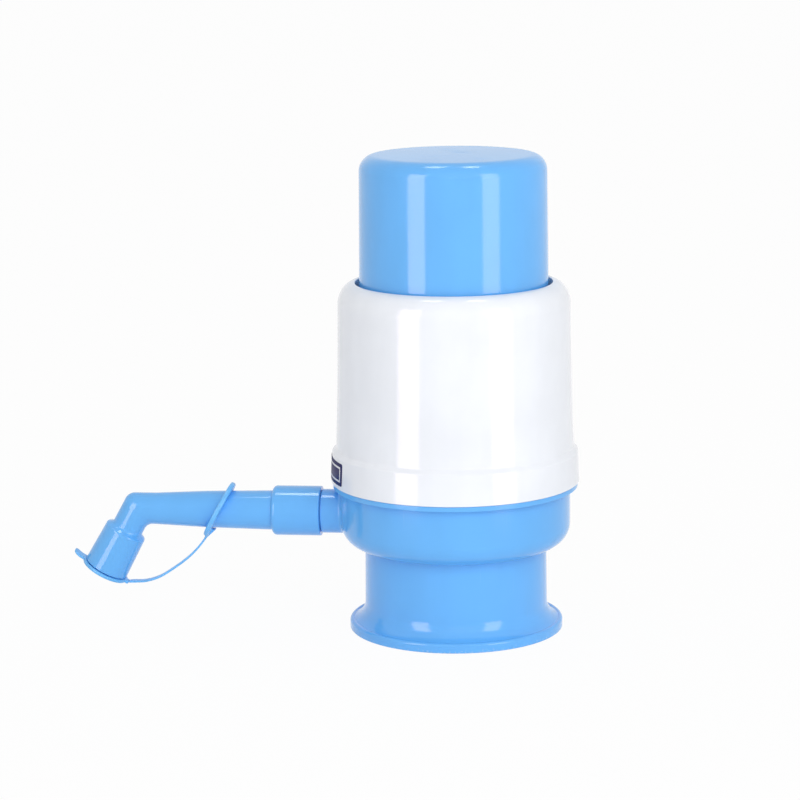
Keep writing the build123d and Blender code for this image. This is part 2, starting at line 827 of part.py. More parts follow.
# ================================================================ outlet pipe, seals and dip tube's bush
pipe_groove_start = pipe_seal_reach - pipe_seal_wire_r - slip
pipe_groove_end = pipe_seal_reach + pipe_seal_wire_r + slip
with BuildPart() as outlet_pipe:
    turned(
        [
            (pipe_inner_end, pipe_bore_r),
            (pipe_inner_end, pipe_r),
            (pipe_groove_start, pipe_r),
            (pipe_groove_start, pipe_groove_r - slip),
            (pipe_groove_end, pipe_groove_r - slip),
            (pipe_groove_end, pipe_r),
            (spigot_end, pipe_r),
            (spigot_end, pipe_head_r),
            (spigot_end + pipe_head_length, pipe_head_r),
            (spigot_end + pipe_head_length, pipe_bore_r),
        ],
        plane=spout_side,
        axis=spout_axis,
    )
save(outlet_pipe, "outlet_pipe")


def seal_ring(name, reach, ring_r, wire_r):
    """A round-section seal about the spout's axis."""
    with BuildPart() as seal:
        with BuildSketch(spout_side):
            with Locations((reach, ring_r)):
                Circle(wire_r)
        revolve(axis=spout_axis)
    save(seal, name)


seal_ring("pipe_seal", pipe_seal_reach, pipe_groove_r + pipe_seal_wire_r, pipe_seal_wire_r)
seal_ring("spout_seal", spigot_seal_reach, seal_height_r - spigot_seal_wire_r, spigot_seal_wire_r)

with BuildPart() as dip_tube_bush:
    ring(dip_socket_bottom_z, dip_bush_length, dip_bore_r + dip_bush_wall, dip_bore_r)
save(dip_tube_bush, "dip_tube_bush")

# ================================================================ seal that grips the jug's neck
with BuildPart() as neck_seal:
    ring(squeeze_top_z, guide_bottom_z - squeeze_top_z, neck_seal_r, neck_seal_bore_r)
save(neck_seal, "neck_seal")

# ================================================================ ring that squeezes the seal
tongue_top_z = guide_bottom_z + tongue_reach_up
lug_angle = 360 / key_count / 2
with BuildPart() as squeeze_ring:
    ring(squeeze_bottom_z, squeeze_height, squeeze_r, squeeze_bore_r)
    tongues = keys(squeeze_bottom_z, tongue_r - tongue_wall, tongue_r, tongue_width, 0)
    extrude(tongues, amount=tongue_top_z - squeeze_bottom_z)
    lugs = keys(lug_mid_z - lug_height / 2, squeeze_r - lug_out, lug_r, lug_width, lug_angle)
    extrude(lugs, amount=lug_height)
save(squeeze_ring, "squeeze_ring")

# ================================================================ clamp collar with the foot
collar_neck_top_z = collar_ridge_z + collar_ridge_height + collar_lead_in
ridge_r = collar_neck_r + collar_ridge_out
groove_height = lug_height + 2 * loose
groove_rise = groove_pitch * groove_turn / 360
groove_start_z = lug_mid_z - groove_pitch * groove_lead / 360
with BuildPart() as groove_cutter:
    with BuildLine():
        track = Helix(groove_pitch, groove_rise, collar_bore_r, center=(0, 0, groove_start_z))
    with BuildSketch(Plane(origin=track @ 0, x_dir=(1, 0, 0), z_dir=track % 0)):
        Rectangle(2 * (groove_r - collar_bore_r), groove_height)
    sweep(path=track, is_frenet=True)

with BuildPart() as clamp_collar:
    with BuildSketch(Plane.XZ):
        with BuildLine():
            flare_out = flare_end_r - skirt_low_r
            flare_drop = flare_top_z - flare_end_z
            flare_arc_r = (flare_out**2 + flare_drop**2) / (2 * flare_out)
            RadiusArc((skirt_low_r, flare_top_z), (flare_end_r, flare_end_z), -flare_arc_r)
            ThreePointArc(
                (flare_end_r, flare_end_z),
                (flare_end_r + foot_bead_mid_out, foot_bead_mid_z),
                (foot_r, foot_bead_z),
            )
            Polyline(
                (foot_r, foot_bead_z),
                (foot_r, 0),
                (collar_bore_r, 0),
                (collar_bore_r, collar_neck_top_z),
                (collar_neck_r, collar_neck_top_z),
                (ridge_r, collar_ridge_z + collar_ridge_height),
                (ridge_r, collar_ridge_z),
                (collar_neck_r, collar_ridge_z),
                (collar_neck_r, collar_top_z),
                (skirt_top_r, collar_top_z),
                (skirt_low_r, flare_top_z),
            )
        make_face()
    revolve(axis=Axis.Z)
    for turn in range(key_count):
        around = 360 / key_count * turn + lug_angle - groove_lead
        add(groove_cutter.part.rotate(Axis.Z, around), mode=Mode.SUBTRACT)
    entry_slots = keys(0, collar_bore_r / 2, groove_r, entry_slot_width, lug_angle - groove_lead)
    extrude(entry_slots, amount=groove_start_z + groove_height / 2, mode=Mode.SUBTRACT)
save(clamp_collar, "clamp_collar")

# ================================================================ spout
with BuildPart() as spout:
    turned(
        [
            (bell_start, 0),
            (bell_start, bell_r),
            (bell_end - bell_edge, bell_r),
            (bell_end, bell_r - bell_edge),
            (bell_end, tube_root_r),
            (tube_mid_reach, tube_mid_r),
            (corner_reach, elbow_r),
            (corner_reach, 0),
        ],
        plane=spout_side,
        axis=spout_axis,
    )
    with Locations(nozzle_corner):
        Sphere(elbow_r)
    turned(
        [
            (0, 0),
            (0, elbow_r),
            (nozzle_top - nozzle_round, elbow_r),
            (nozzle_top, nozzle_top_r - nozzle_round),
            (nozzle_top + nozzle_round, nozzle_top_r),
            (nozzle_end, nozzle_end_r),
            (nozzle_end, 0),
        ],
        plane=nozzle_side,
        axis=nozzle_axis,
    )
    turned(
        [
            (bell_start, 0),
            (bell_start, bell_bore_r),
            (bell_bore_end, bell_bore_r),
            (bell_bore_end + bell_bore_slope, spout_root_bore_r),
            (corner_reach, elbow_bore_r),
            (corner_reach, 0),
        ],
        plane=spout_side,
        axis=spout_axis,
        mode=Mode.SUBTRACT,
    )
    with Locations(nozzle_corner):
        Sphere(elbow_bore_r, mode=Mode.SUBTRACT)
    turned(
        [
            (0, 0),
            (0, elbow_bore_r),
            (nozzle_bore_start - nozzle_bore_shoulder, elbow_bore_r),
            (nozzle_bore_start, nozzle_bore_r),
            (nozzle_end, nozzle_bore_r),
            (nozzle_end, 0),
        ],
        plane=nozzle_side,
        axis=nozzle_axis,
        mode=Mode.SUBTRACT,
    )
    turned(
        [
            (spigot_snap_reach - loose, bell_bore_r - snap_bead),
            (spigot_snap_reach - loose, bell_bore_r),
            (spigot_snap_reach + snap_bead - loose, bell_bore_r + snap_bead),
            (spigot_snap_reach + snap_bead_height + loose, bell_bore_r + snap_bead),
            (spigot_snap_reach + snap_bead_height + snap_bead + loose, bell_bore_r),
            (spigot_snap_reach + snap_bead_height + snap_bead + loose, bell_bore_r - snap_bead),
        ],
        plane=spout_side,
        axis=spout_axis,
        mode=Mode.SUBTRACT,
    )
save(spout, "spout")

# ================================================================ dust cap
with BuildPart() as dust_cap:
    turned(
        [
            (lid_start, 0),
            (lid_start, plug_r - plug_wall),
            (lid_start - plug_length, plug_tip_r - plug_wall),
            (lid_start - plug_length, plug_tip_r),
            (lid_start, plug_r),
            (lid_start, lid_r),
            (lid_end, lid_r),
            (lid_end, lid_dish_r),
            (lid_end - lid_dish_depth, lid_dish_r - lid_dish_depth),
            (lid_end - lid_dish_depth, 0),
        ],
        plane=nozzle_side,
        axis=nozzle_axis,
    )
    tab_root = lid_r - lid_thickness
    with BuildSketch(nozzle_side):
        with BuildLine():
            Polyline(
                (lid_start, -tab_root),
                (lid_start, -lid_r),
                (lid_start - tab_bend, -tab_reach),
                (lid_start + tab_thickness - tab_bend, -tab_reach),
                (lid_start + tab_thickness, -lid_r - lid_thickness),
                (lid_start + tab_thickness, -tab_root),
                close=True,
            )
        make_face()
    extrude(amount=tab_width / 2, both=True)
    with BuildSketch(nozzle_side):
        with Locations((hinge_along, hinge_out)):
            Circle(knuckle_r)
        with Locations((hinge_along, (tab_root + hinge_out) / 2)):
            Rectangle(lid_thickness, hinge_out - tab_root)
    extrude(amount=strap_width / 2, both=True)
save(dust_cap, "dust_cap")

# ================================================================ strap, moulded in one with its ring
hinge_reach = -hinge_point.X
hinge_z = hinge_point.Z
ring_tilt = radians(strap_ring_tilt)
ring_plane = Plane(
    origin=(-strap_ring_reach, 0, spout_z),
    x_dir=(0, 1, 0),
    z_dir=(-cos(ring_tilt), 0, sin(ring_tilt)),
)
root_tip = (
    strap_points[2][0] + strap_root_length / 2,
    strap_points[2][1] - strap_root_length / 2,
)
ring_foot = (
    strap_ring_reach + (strap_ring_r - strap_ring_thickness) * sin(ring_tilt),
    spout_z - (strap_ring_r - strap_ring_thickness) * cos(ring_tilt),
)
with BuildPart() as cap_strap:
    with BuildSketch(ring_plane):
        Circle(strap_ring_r)
    extrude(amount=strap_ring_thickness / 2, both=True)
    with BuildSketch(strap_side):
        with BuildLine() as strap_line:
            lower_run = ThreePointArc((hinge_reach, hinge_z), strap_points[0], strap_points[1])
            upper_run = TangentArc(strap_points[1], strap_points[2], tangent=lower_run % 1)
            Line(strap_points[2], ring_foot)
        trace(line_width=strap_thickness)
    extrude(amount=strap_width / 2, both=True)
    with BuildSketch(strap_side):
        with BuildLine():
            Polyline(
                (ring_foot[0] - strap_root_thickness, ring_foot[1]),
                (ring_foot[0] + strap_root_thickness, ring_foot[1]),
                root_tip,
                close=True,
            )
        make_face()
    extrude(amount=strap_width / 2, both=True)
    turned(
        [
            (bell_end, 0),
            (bell_end, tube_radius(bell_end) + slip),
            (tube_mid_reach, tube_radius(tube_mid_reach) + slip),
            (tube_mid_reach + strap_ring_r, tube_radius(tube_mid_reach + strap_ring_r) + slip),
            (tube_mid_reach + strap_ring_r, 0),
        ],
        plane=spout_side,
        axis=spout_axis,
        mode=Mode.SUBTRACT,
    )
    with BuildSketch(nozzle_side):
        with Locations((hinge_along, hinge_out)):
            Circle(knuckle_r + loose)
    extrude(amount=strap_width, both=True, mode=Mode.SUBTRACT)
save(cap_strap, "cap_strap")
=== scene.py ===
"""Looks of the water jug hand pump: its visible mouldings, every finish and its studio.

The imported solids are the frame. Lengths are in metres, and "* mm" turns millimetres into them.
"""

import json
from math import cos, degrees, pi, radians, sin, sqrt, tan

import bmesh
import bpy
from mathutils import Matrix, Vector


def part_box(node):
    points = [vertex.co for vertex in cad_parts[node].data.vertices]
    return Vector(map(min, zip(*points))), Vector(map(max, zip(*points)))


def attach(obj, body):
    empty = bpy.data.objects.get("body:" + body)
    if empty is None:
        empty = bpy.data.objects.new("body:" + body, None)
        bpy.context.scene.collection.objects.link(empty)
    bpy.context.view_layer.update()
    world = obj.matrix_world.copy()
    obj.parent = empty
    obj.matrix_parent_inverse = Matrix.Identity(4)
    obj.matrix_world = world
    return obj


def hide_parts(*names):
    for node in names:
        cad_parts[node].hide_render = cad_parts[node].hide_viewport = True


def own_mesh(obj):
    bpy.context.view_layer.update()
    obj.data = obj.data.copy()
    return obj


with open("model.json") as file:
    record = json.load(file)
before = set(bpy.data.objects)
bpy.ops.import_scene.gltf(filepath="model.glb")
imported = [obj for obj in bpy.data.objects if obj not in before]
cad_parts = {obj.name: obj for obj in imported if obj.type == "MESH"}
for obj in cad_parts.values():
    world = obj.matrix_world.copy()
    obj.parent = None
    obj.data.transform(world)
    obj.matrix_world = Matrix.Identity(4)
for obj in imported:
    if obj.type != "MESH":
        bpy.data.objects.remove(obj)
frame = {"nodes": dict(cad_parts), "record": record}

bl_info = {
    "name": "Water Jug Hand Pump",
    "version": (1, 0, 0),
    "blender": (4, 5, 0),
    "location": "3D Viewport > Sidebar > Hand Pump",
    "description": "Models the visible mouldings of a hand pump and gives every piece its finish",
    "category": "Object",
}

mm = 0.001
full_turn = 2 * pi
rounding_step = 11
sharp_angle = radians(38)
merge_distance = 0.0001 * mm
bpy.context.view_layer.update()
nodes = frame["nodes"]


# ======== what a user can change
def length(name, description, millimetres):
    """A size, given in millimetres and kept in metres."""
    return bpy.props.FloatProperty(
        name=name, description=description, default=millimetres * mm, unit="LENGTH", precision=4
    )


def tint(name, description, default):
    """A colour."""
    return bpy.props.FloatVectorProperty(
        name=name, description=description, default=default, subtype="COLOR", size=4, min=0, max=1
    )


def amount(name, description, default):
    """A plain number."""
    return bpy.props.FloatProperty(name=name, description=description, default=default, precision=3)


def angle(name, description, default):
    """An angle, given in degrees and kept in radians."""
    return bpy.props.FloatProperty(
        name=name, description=description, default=radians(default), subtype="ANGLE"
    )


def count(name, description, default):
    """A whole number."""
    return bpy.props.IntProperty(name=name, description=description, default=default, min=3)


class PumpBody(bpy.types.PropertyGroup):
    """Sizes of the press cap, the housing, the bowl and the collar."""

    steps: count("Steps round", "Steps of each piece that is spun about the pump's axis", 192)
    edge: length("Edge rounding", "Rounding of the mouldings' plain edges", 0.45)
    wall: length("Wall", "Wall of the press cap and the housing", 2.4)
    cap_radius: length("Press cap radius", "Press cap at its top edge", 38.7)
    cap_low_radius: length("Press cap low radius", "Press cap at its retaining flange", 39.3)
    cap_edge: length("Press cap edge", "Rounding round the top of the press cap", 6.5)
    cap_crown: length("Press cap crown", "How much higher the middle of the press cap is", 0.5)
    opening_radius: length("Opening radius", "Mouth of the housing", 40.9)
    shoulder_radius: length("Shoulder radius", "Housing under its rounded shoulder", 48.3)
    low_radius: length("Low radius", "Housing just above its flange", 49.7)
    flange_radius: length("Flange radius", "Housing's flange at its top", 51.4)
    flange_foot_radius: length("Flange foot radius", "Housing's flange at its bottom", 51.95)
    bowl_radius: length("Bowl radius", "Outside of the base bowl", 48.1)
    bowl_corner: length("Bowl corner", "Rounding under the base bowl", 9.0)
    rim_radius: length("Rim radius", "Rim of the base bowl", 51.3)
    skirt_radius: length("Skirt radius", "Clamp collar above its flare", 38.35)
    foot_radius: length("Foot radius", "Bead round the foot", 44.85)


class PumpSpout(bpy.types.PropertyGroup):
    """Sizes of the spout, its dust cap and the strap."""

    steps: count("Steps round", "Steps of each piece that is spun about the spout's axis", 96)
    height: length("Spout height", "Height of the spout's axis", 48.5)
    bell_radius: length("Bell radius", "Collar at the root of the spout", 10.5)
    root_radius: length("Tube root radius", "Tube next to the bell", 8.35)
    middle_radius: length("Tube middle radius", "Tube under the strap's ring", 7.75)
    elbow_radius: length("Elbow radius", "Tube at the elbow", 6.7)
    elbow_edge: length("Elbow edge", "Rounding along the elbow's mitre, to each side", 2.4)
    bend_angle: angle("Bend angle", "How far the nozzle points below the horizontal", 61.0)
    corner: length("Corner", "From the pump's axis to where the spout's axis bends", 135.7)
    nozzle_radius: length("Nozzle radius", "Nozzle at its mouth", 9.55)
    lid_radius: length("Lid radius", "Dust cap's plate", 10.3)
    lid_thickness: length("Lid thickness", "Plate of the dust cap", 1.5)
    tab_width: length("Tab width", "Thumb tab of the dust cap at its root", 4.4)
    tab_thickness: length("Tab thickness", "Thumb tab of the dust cap", 1.2)
    strap_width: length("Strap width", "Strap of the dust cap", 3.2)
    strap_thickness: length("Strap thickness", "Strap of the dust cap", 0.85)
    ring_radius: length("Ring radius", "Ring of the strap round the tube", 12.8)
    ring_thickness: length("Ring thickness", "Ring of the strap round the tube", 2.1)
    ring_tilt: angle("Ring tilt", "Lean of the strap's ring", 28.5)


class PumpColours(bpy.types.PropertyGroup):
    """Colours of the pump."""

    blue: tint("Blue", "Press cap, bowl, collar and spout", (0.135, 0.462, 0.930, 1))
    soft_blue: tint("Soft blue", "Strap and dust cap", (0.150, 0.500, 0.940, 1))
    white: tint("White", "Housing", (0.860, 0.885, 0.935, 1))
    inner: tint("Inner white", "Mouldings inside the pump", (0.780, 0.790, 0.800, 1))
    navy: tint("Navy", "Ground of the label", (0.012, 0.012, 0.100, 1))
    green: tint("Green", "Stripe of the label", (0.055, 0.330, 0.070, 1))
    paper: tint("Paper", "Panels of the label", (0.800, 0.820, 0.860, 1))
    bellows: tint("Bellows rubber", "Bellows", (0.600, 0.640, 0.690, 1))
    valve: tint("Valve rubber", "Valve discs and the dip tube's bush", (0.500, 0.500, 0.490, 1))
    seal: tint("Seal rubber", "Seals", (0.016, 0.016, 0.018, 1))
    steel: tint("Steel", "Spring and screws", (0.560, 0.570, 0.580, 1))
    floor: tint("Floor", "Floor of the studio", (0.900, 0.900, 0.900, 1))
    strip_light: tint("Strip light", "Light of the tall strip lamps", (1.000, 0.780, 1.000, 1))


class PumpStudio(bpy.types.PropertyGroup):
    """Lamps, background and camera."""

    world: amount("World", "Strength of the plain white surroundings on the object", 0.63)
    front: amount("Front lamp", "Power of the wide soft lamp beside the camera, in watts", 13.4)
    turn_front: angle("Front lamp turn", "From the camera to the front lamp, to the right", 14)
    strips: amount("Strip lamps", "Power of the two tall lamps that the gloss shows, in watts", 7.0)
    bars: amount("Bar lamps", "Power of the two lamps overhead that the gloss shows, in watts", 1.3)
    floor_glow: amount("Floor glow", "Share of plain white in the floor that the camera sees", 0.95)
    lens: amount("Lens", "Focal length for a sensor 36 mm wide", 126.2)
    camera_x: length("Camera X", "Place of the camera", 107.5)
    camera_y: length("Camera Y", "Place of the camera", -1142.7)
    camera_z: length("Camera Z", "Place of the camera", 322.8)
    camera_turn: angle("Camera turn", "Turn of the camera about the upright", 6.512)
    camera_pitch: angle("Camera pitch", "How far the camera looks down", 11.13)
    camera_roll: angle("Camera roll", "Lean of the camera", -0.66)


# ======== shader maths
class Signal:
    """An output socket. Arithmetic on it adds Math nodes to its node tree."""

    def __init__(self, shading, socket):
        self.shading = shading
        self.socket = socket

    def __add__(self, other):
        return self.shading.maths("ADD", self, other)

    def __radd__(self, other):
        return self.shading.maths("ADD", other, self)

    def __sub__(self, other):
        return self.shading.maths("SUBTRACT", self, other)

    def __rsub__(self, other):
        return self.shading.maths("SUBTRACT", other, self)

    def __mul__(self, other):
        return self.shading.maths("MULTIPLY", self, other)

    def __rmul__(self, other):
        return self.shading.maths("MULTIPLY", other, self)

    def __gt__(self, other):
        return self.shading.maths("GREATER_THAN", self, other)

    def __lt__(self, other):
        return self.shading.maths("LESS_THAN", self, other)

    def __abs__(self):
        return self.shading.maths("ABSOLUTE", self)


def finish_name(slot):
    """The name of the finish that dresses a material slot."""
    return f"{slot}_finish"


class Shading:
    """The nodes of a material or of the world."""

    def __init__(self, tree):
        self.tree = tree

    def node(self, kind, settings=None, inputs=None, output=0):
        """Adds a node: its settings are made first, then its sockets get their values or links."""
        made = self.tree.nodes.new(kind)
        for name, value in (settings or {}).items():
            setattr(made, name, value)
        for name, value in (inputs or {}).items():
            self.feed(made.inputs[name], value)
        return Signal(self, made.outputs[output])

    def feed(self, socket, value):
        """Links a signal to a socket, or sets a plain value on it."""
        if isinstance(value, Signal):
            self.tree.links.new(value.socket, socket)
        else:
            socket.default_value = value

    def maths(self, operation, first, second=0.0):
        """Adds a Math node."""
        return self.node("ShaderNodeMath", {"operation": operation}, {0: first, 1: second})

    def seen_by(self, *rays):
        """1 to rays of these kinds and 0 to all others."""
        seen = 0.0
        for ray in rays:
            path = self.node("ShaderNodeLightPath", output=f"Is {ray} Ray")
            seen = self.maths("MAXIMUM", path, seen)
        return seen


class Finish(Shading):
    """A material with its pattern nodes, built round one Principled shader."""

    def __init__(self, name):
        self.material = bpy.data.materials.new(finish_name(name))
        self.material.use_nodes = True
        super().__init__(self.material.node_tree)
        self.shader = self.tree.nodes["Principled BSDF"]
        self.place = self.node("ShaderNodeTexCoord", output="Object")

    def mix(self, share, first, second):
        """A colour between first and second."""
        return self.node(
            "ShaderNodeMix", {"data_type": "RGBA"}, {0: share, 6: first, 7: second}, output=2
        )

    def span(self, value, start, end, low=0.0, high=1.0):
        """Maps start..end to low..high and holds it there."""
        places = {"Value": value, 1: start, 2: end, 3: low, 4: high}
        return self.node("ShaderNodeMapRange", {"interpolation_type": "SMOOTHSTEP"}, places)

    def noise(self, size, detail=2.0, stretch=(1, 1, 1), shift=(0, 0, 0)):
        """Noise with lumps about size across, longer along an axis where stretch is small."""
        spot = self.node(
            "ShaderNodeVectorMath",
            {"operation": "MULTIPLY_ADD"},
            {0: self.place, 1: stretch, 2: shift},
        )
        settings = {"noise_dimensions": "3D"}
        return self.node(
            "ShaderNodeTexNoise", settings, {"Vector": spot, "Scale": 1 / size, "Detail": detail}
        )

    def axes(self):
        """The three parts of the place on the object."""
        split = self.node("ShaderNodeSeparateXYZ", inputs={0: self.place})
        sockets = split.socket.node.outputs
        return Signal(self, sockets[0]), Signal(self, sockets[1]), Signal(self, sockets[2])

    def bump(self, height, distance, strength=1.0):
        """Feeds the shader's normal from a height, whose full range is distance."""
        normal = self.node(
            "ShaderNodeBump", inputs={"Height": height, "Distance": distance, "Strength": strength}
        )
        self.feed(self.shader.inputs["Normal"], normal)

    def set(self, **values):
        """Sets or feeds the shader's sockets; an underscore in a name stands for a space."""
        for name, value in values.items():
            self.feed(self.shader.inputs[name.replace("_", " ")], value)


def shade(colour, factor):
    """A colour made lighter or darker, worked out in Python."""
    return (*[min(1.0, part * factor) for part in colour[:3]], 1)


# ======== finishes
def gloss_plastic(name, colour, roughness, scuff_colour):
    """Gloss with faint clouds, orange peel, smears, hairlines and a top dulled by the palm."""
    finish = Finish(name)
    clouds = finish.noise(34 * mm, detail=3)
    flow = finish.noise(9 * mm, detail=2, stretch=(1, 1, 0.25))
    tone = finish.span(clouds * 0.7 + flow * 0.3, 0.35, 0.65)
    body = finish.mix(tone, shade(colour, 0.972), shade(colour, 1.022))
    smears = finish.span(finish.noise(16 * mm, detail=4, shift=(3, 1, 2)), 0.56, 0.72)
    hairlines = finish.span(finish.noise(0.5 * mm, detail=1, stretch=(1, 1, 0.02)), 0.70, 0.80)
    patches = finish.span(finish.noise(22 * mm, detail=2, shift=(7, 5, 1)), 0.50, 0.62)
    scratches = hairlines * patches
    height = finish.axes()[2]
    low_edge = finish.span(height, 0.3 * mm, 2.2 * mm, 1, 0)
    grains = finish.span(finish.noise(1.1 * mm, detail=4, shift=(2, 8, 4)), 0.52, 0.66)
    scuffs = low_edge * grains
    palmed = finish.span(height, cap_top - 2.5 * mm, cap_top - 0.7 * mm)
    finish.set(
        Base_Color=finish.mix(scuffs * 0.5 + scratches * 0.08, body, scuff_colour),
        Roughness=roughness + smears * 0.05 + scratches * 0.16 + scuffs * 0.30 + palmed * 0.10,
        IOR=1.48,
    )
    peel = finish.noise(2.6 * mm, detail=2)
    finish.bump(peel * 0.5 + scratches * -0.10 + scuffs * -0.8 + clouds * 0.5, 0.012 * mm)


def soft_plastic(name, colour):
    """Soft, slightly waxy moulding of the strap and the dust cap."""
    finish = Finish(name)
    clouds = finish.noise(12 * mm, detail=3)
    grain = finish.noise(0.6 * mm, detail=3)
    body = finish.mix(finish.span(clouds, 0.35, 0.65), shade(colour, 0.955), shade(colour, 1.035))
    dust = finish.span(finish.noise(3.2 * mm, detail=4, shift=(1, 4, 2)), 0.58, 0.74)
    finish.set(
        Base_Color=finish.mix(dust * 0.12, body, (0.62, 0.70, 0.78, 1)),
        Roughness=0.30 + dust * 0.12 + grain * 0.05,
        IOR=1.50,
    )
    finish.bump(grain * 0.4 + clouds * 0.6, 0.02 * mm)


def satin_plastic(name, colour):
    """Plain inner mouldings with fine tool texture and faint grey handling marks."""
    finish = Finish(name)
    clouds = finish.noise(18 * mm, detail=3)
    texture = finish.noise(0.45 * mm, detail=3)
    marks = finish.span(finish.noise(6 * mm, detail=5, shift=(4, 2, 6)), 0.60, 0.76)
    body = finish.mix(finish.span(clouds, 0.3, 0.7), shade(colour, 0.95), shade(colour, 1.03))
    finish.set(
        Base_Color=finish.mix(marks * 0.18, body, shade(colour, 0.72)),
        Roughness=0.38 + texture * 0.10 + marks * 0.10,
        IOR=1.47,
    )
    finish.bump(texture, 0.015 * mm)


def rubber(name, colour, bloom):
    """Moulded rubber with a pale bloom and a fine matt grain."""
    finish = Finish(name)
    grain = finish.noise(0.35 * mm, detail=3)
    cloud = finish.span(finish.noise(7 * mm, detail=4), 0.42, 0.68)
    finish.set(
        Base_Color=finish.mix(cloud * 0.35, colour, bloom),
        Roughness=0.55 + grain * 0.12 + cloud * 0.12,
        IOR=1.52,
    )
    finish.bump(grain, 0.02 * mm)


def drawn_steel(name, colour):
    """Bright wire and turned screws: fine lines round the axis and a dull film in patches."""
    finish = Finish(name)
    lines = finish.noise(0.22 * mm, detail=2, stretch=(0.15, 0.15, 1))
    film = finish.span(finish.noise(4 * mm, detail=4, shift=(5, 2, 9)), 0.48, 0.70)
    finish.set(
        Base_Color=finish.mix(film * 0.6, colour, shade(colour, 0.62)),
        Roughness=0.20 + lines * 0.14 + film * 0.16,
        Metallic=1.0,
    )
    finish.bump(lines, 0.006 * mm)


def label_print(name, colours):
    """A plain printed film: navy ground, a white frame line and a green band at its far end."""
    finish = Finish(name)
    across, away, height = finish.axes()
    round_pump = finish.maths("ARCTAN2", away, 0 - across) * label_radius
    up = abs(height - (label_low + label_high) / 2)
    half_height = (label_high - label_low) / 2
    half_length = label_half_angle * label_radius
    fibres = finish.noise(0.5 * mm, detail=3)
    scuffs = finish.span(finish.noise(2.4 * mm, detail=5, shift=(3, 3, 1)), 0.60, 0.74)
    inside = (up < half_height - 1.5 * mm) * (abs(round_pump) < half_length - 1.7 * mm)
    within = (up < half_height - 2.3 * mm) * (abs(round_pump) < half_length - 2.5 * mm)
    frame_line = inside - within
    far_end = (round_pump > half_length - 12.0 * mm) * within
    ground = finish.mix(frame_line, colours.navy[:], colours.paper[:])
    printed = finish.mix(far_end, ground, colours.green[:])
    finish.set(
        Base_Color=finish.mix(scuffs * 0.08 + fibres * 0.02, printed, (0.55, 0.57, 0.62, 1)),
        Roughness=0.42 + scuffs * 0.2 + frame_line * 0.08,
        IOR=1.2,
    )
    finish.bump(fibres * 0.4 + frame_line * 0.6, 0.012 * mm)


# ======== modelling helpers
def bevel(bm, geom, affect, offset, segments):
    """Rounds corners or edges, offset metres to each side."""
    bmesh.ops.bevel(
        bm,
        geom=geom,
        affect=affect,
        offset_type="OFFSET",
        offset=offset,
        segments=segments,
        profile=0.5,
        material=-1,
    )


class Outline:
    """A cross-section of (radius, height) points in the XZ plane, spun about Z once it is drawn."""

    def __init__(self, radius, height, rounding=0.0):
        self.bm = bmesh.new()
        self.first = bmesh.ops.create_vert(self.bm, co=(radius, 0, height))["vert"][0]
        self.tip = self.first
        self.roundings = []
        self.note(rounding)

    def note(self, rounding):
        """Keeps the rounding of the last point's corner until the outline is spun."""
        if rounding:
            self.roundings.append((self.tip, rounding))

    def to(self, radius, height, rounding=0.0):
        """A straight run to a point, whose corner may be rounded."""
        grown = bmesh.ops.extrude_vert_indiv(self.bm, verts=[self.tip])["verts"][0]
        grown.co = (radius, 0, height)
        self.tip = grown
        self.note(rounding)
        return self

    def arc(self, centre, axis, turn, steps):
        """Carries the last point round a centre and leaves its path."""
        spun = bmesh.ops.spin(
            self.bm, geom=[self.tip], cent=centre, axis=axis, angle=turn, steps=steps
        )
        self.tip = spun["geom_last"][0]
        return self

    def bow(self, radius, height, rise, steps=12):
        """An arc to a point; a rise over 0 bows to the left of the way there."""
        start = self.tip.co.copy()
        end = Vector((radius, 0, height))
        chord = end - start
        left = Vector((-chord.z, 0, chord.x)).normalized()
        half = chord.length / 2
        swing = (half**2 + rise**2) / (2 * abs(rise))
        side = 1 if rise > 0 else -1
        centre = (start + end) / 2 - left * side * (swing - abs(rise))
        turn = 2 * (pi / 2 - abs(Vector((half, 0, swing - abs(rise))).angle(Vector((1, 0, 0)))))
        return self.arc(centre, (0, side, 0), turn, steps)

    def shoulder(self, radius, height, steps=16):
        """A quarter of an ellipse that goes out and down, from level to upright."""
        start = self.tip.co.copy()
        centre = Vector((start.x, 0, height))
        drop = start.z - height
        old = set(self.bm.verts)
        self.arc(centre, (0, 1, 0), pi / 2, steps)
        grown = [vert for vert in self.bm.verts if vert not in old]
        bmesh.ops.scale(
            self.bm,
            vec=((radius - start.x) / drop, 1, 1),
            space=Matrix.Translation(-centre),
            verts=grown,
        )
        return self

    def close(self):
        """Joins the last point to the first."""
        self.bm.edges.new((self.tip, self.first))
        return self

    def spin(self, steps, sweep=full_turn):
        """Rounds the noted corners, spins the outline and gives the bmesh."""
        for vert, rounding in self.roundings:
            one, two = [(edge.other_vert(vert).co - vert.co) for edge in vert.link_edges]
            between = one.angle(two)
            steps_round = max(3, round(degrees(pi - between) / rounding_step))
            bevel(self.bm, [vert], "VERTICES", rounding / tan(between / 2), steps_round)
        whole = sweep == full_turn
        bmesh.ops.spin(
            self.bm,
            geom=self.bm.verts[:] + self.bm.edges[:],
            cent=(0, 0, 0),
            axis=(0, 0, 1),
            dvec=(0, 0, 0),
            angle=sweep,
            steps=steps,
            use_merge=whole,
        )
        bmesh.ops.remove_doubles(self.bm, verts=self.bm.verts[:], dist=merge_distance)
        bmesh.ops.recalc_face_normals(self.bm, faces=self.bm.faces[:])
        return self.bm


def joined(*parts):
    """One bmesh that holds all of these."""
    whole = bmesh.new()
    for part in parts:
        mesh = bpy.data.meshes.new("part")
        part.to_mesh(mesh)
        part.free()
        whole.from_mesh(mesh)
        bpy.data.meshes.remove(mesh)
    return whole


def moved(bm, matrix):
    """The same bmesh, carried by a matrix."""
    bmesh.ops.transform(bm, matrix=matrix, verts=bm.verts[:])
    return bm


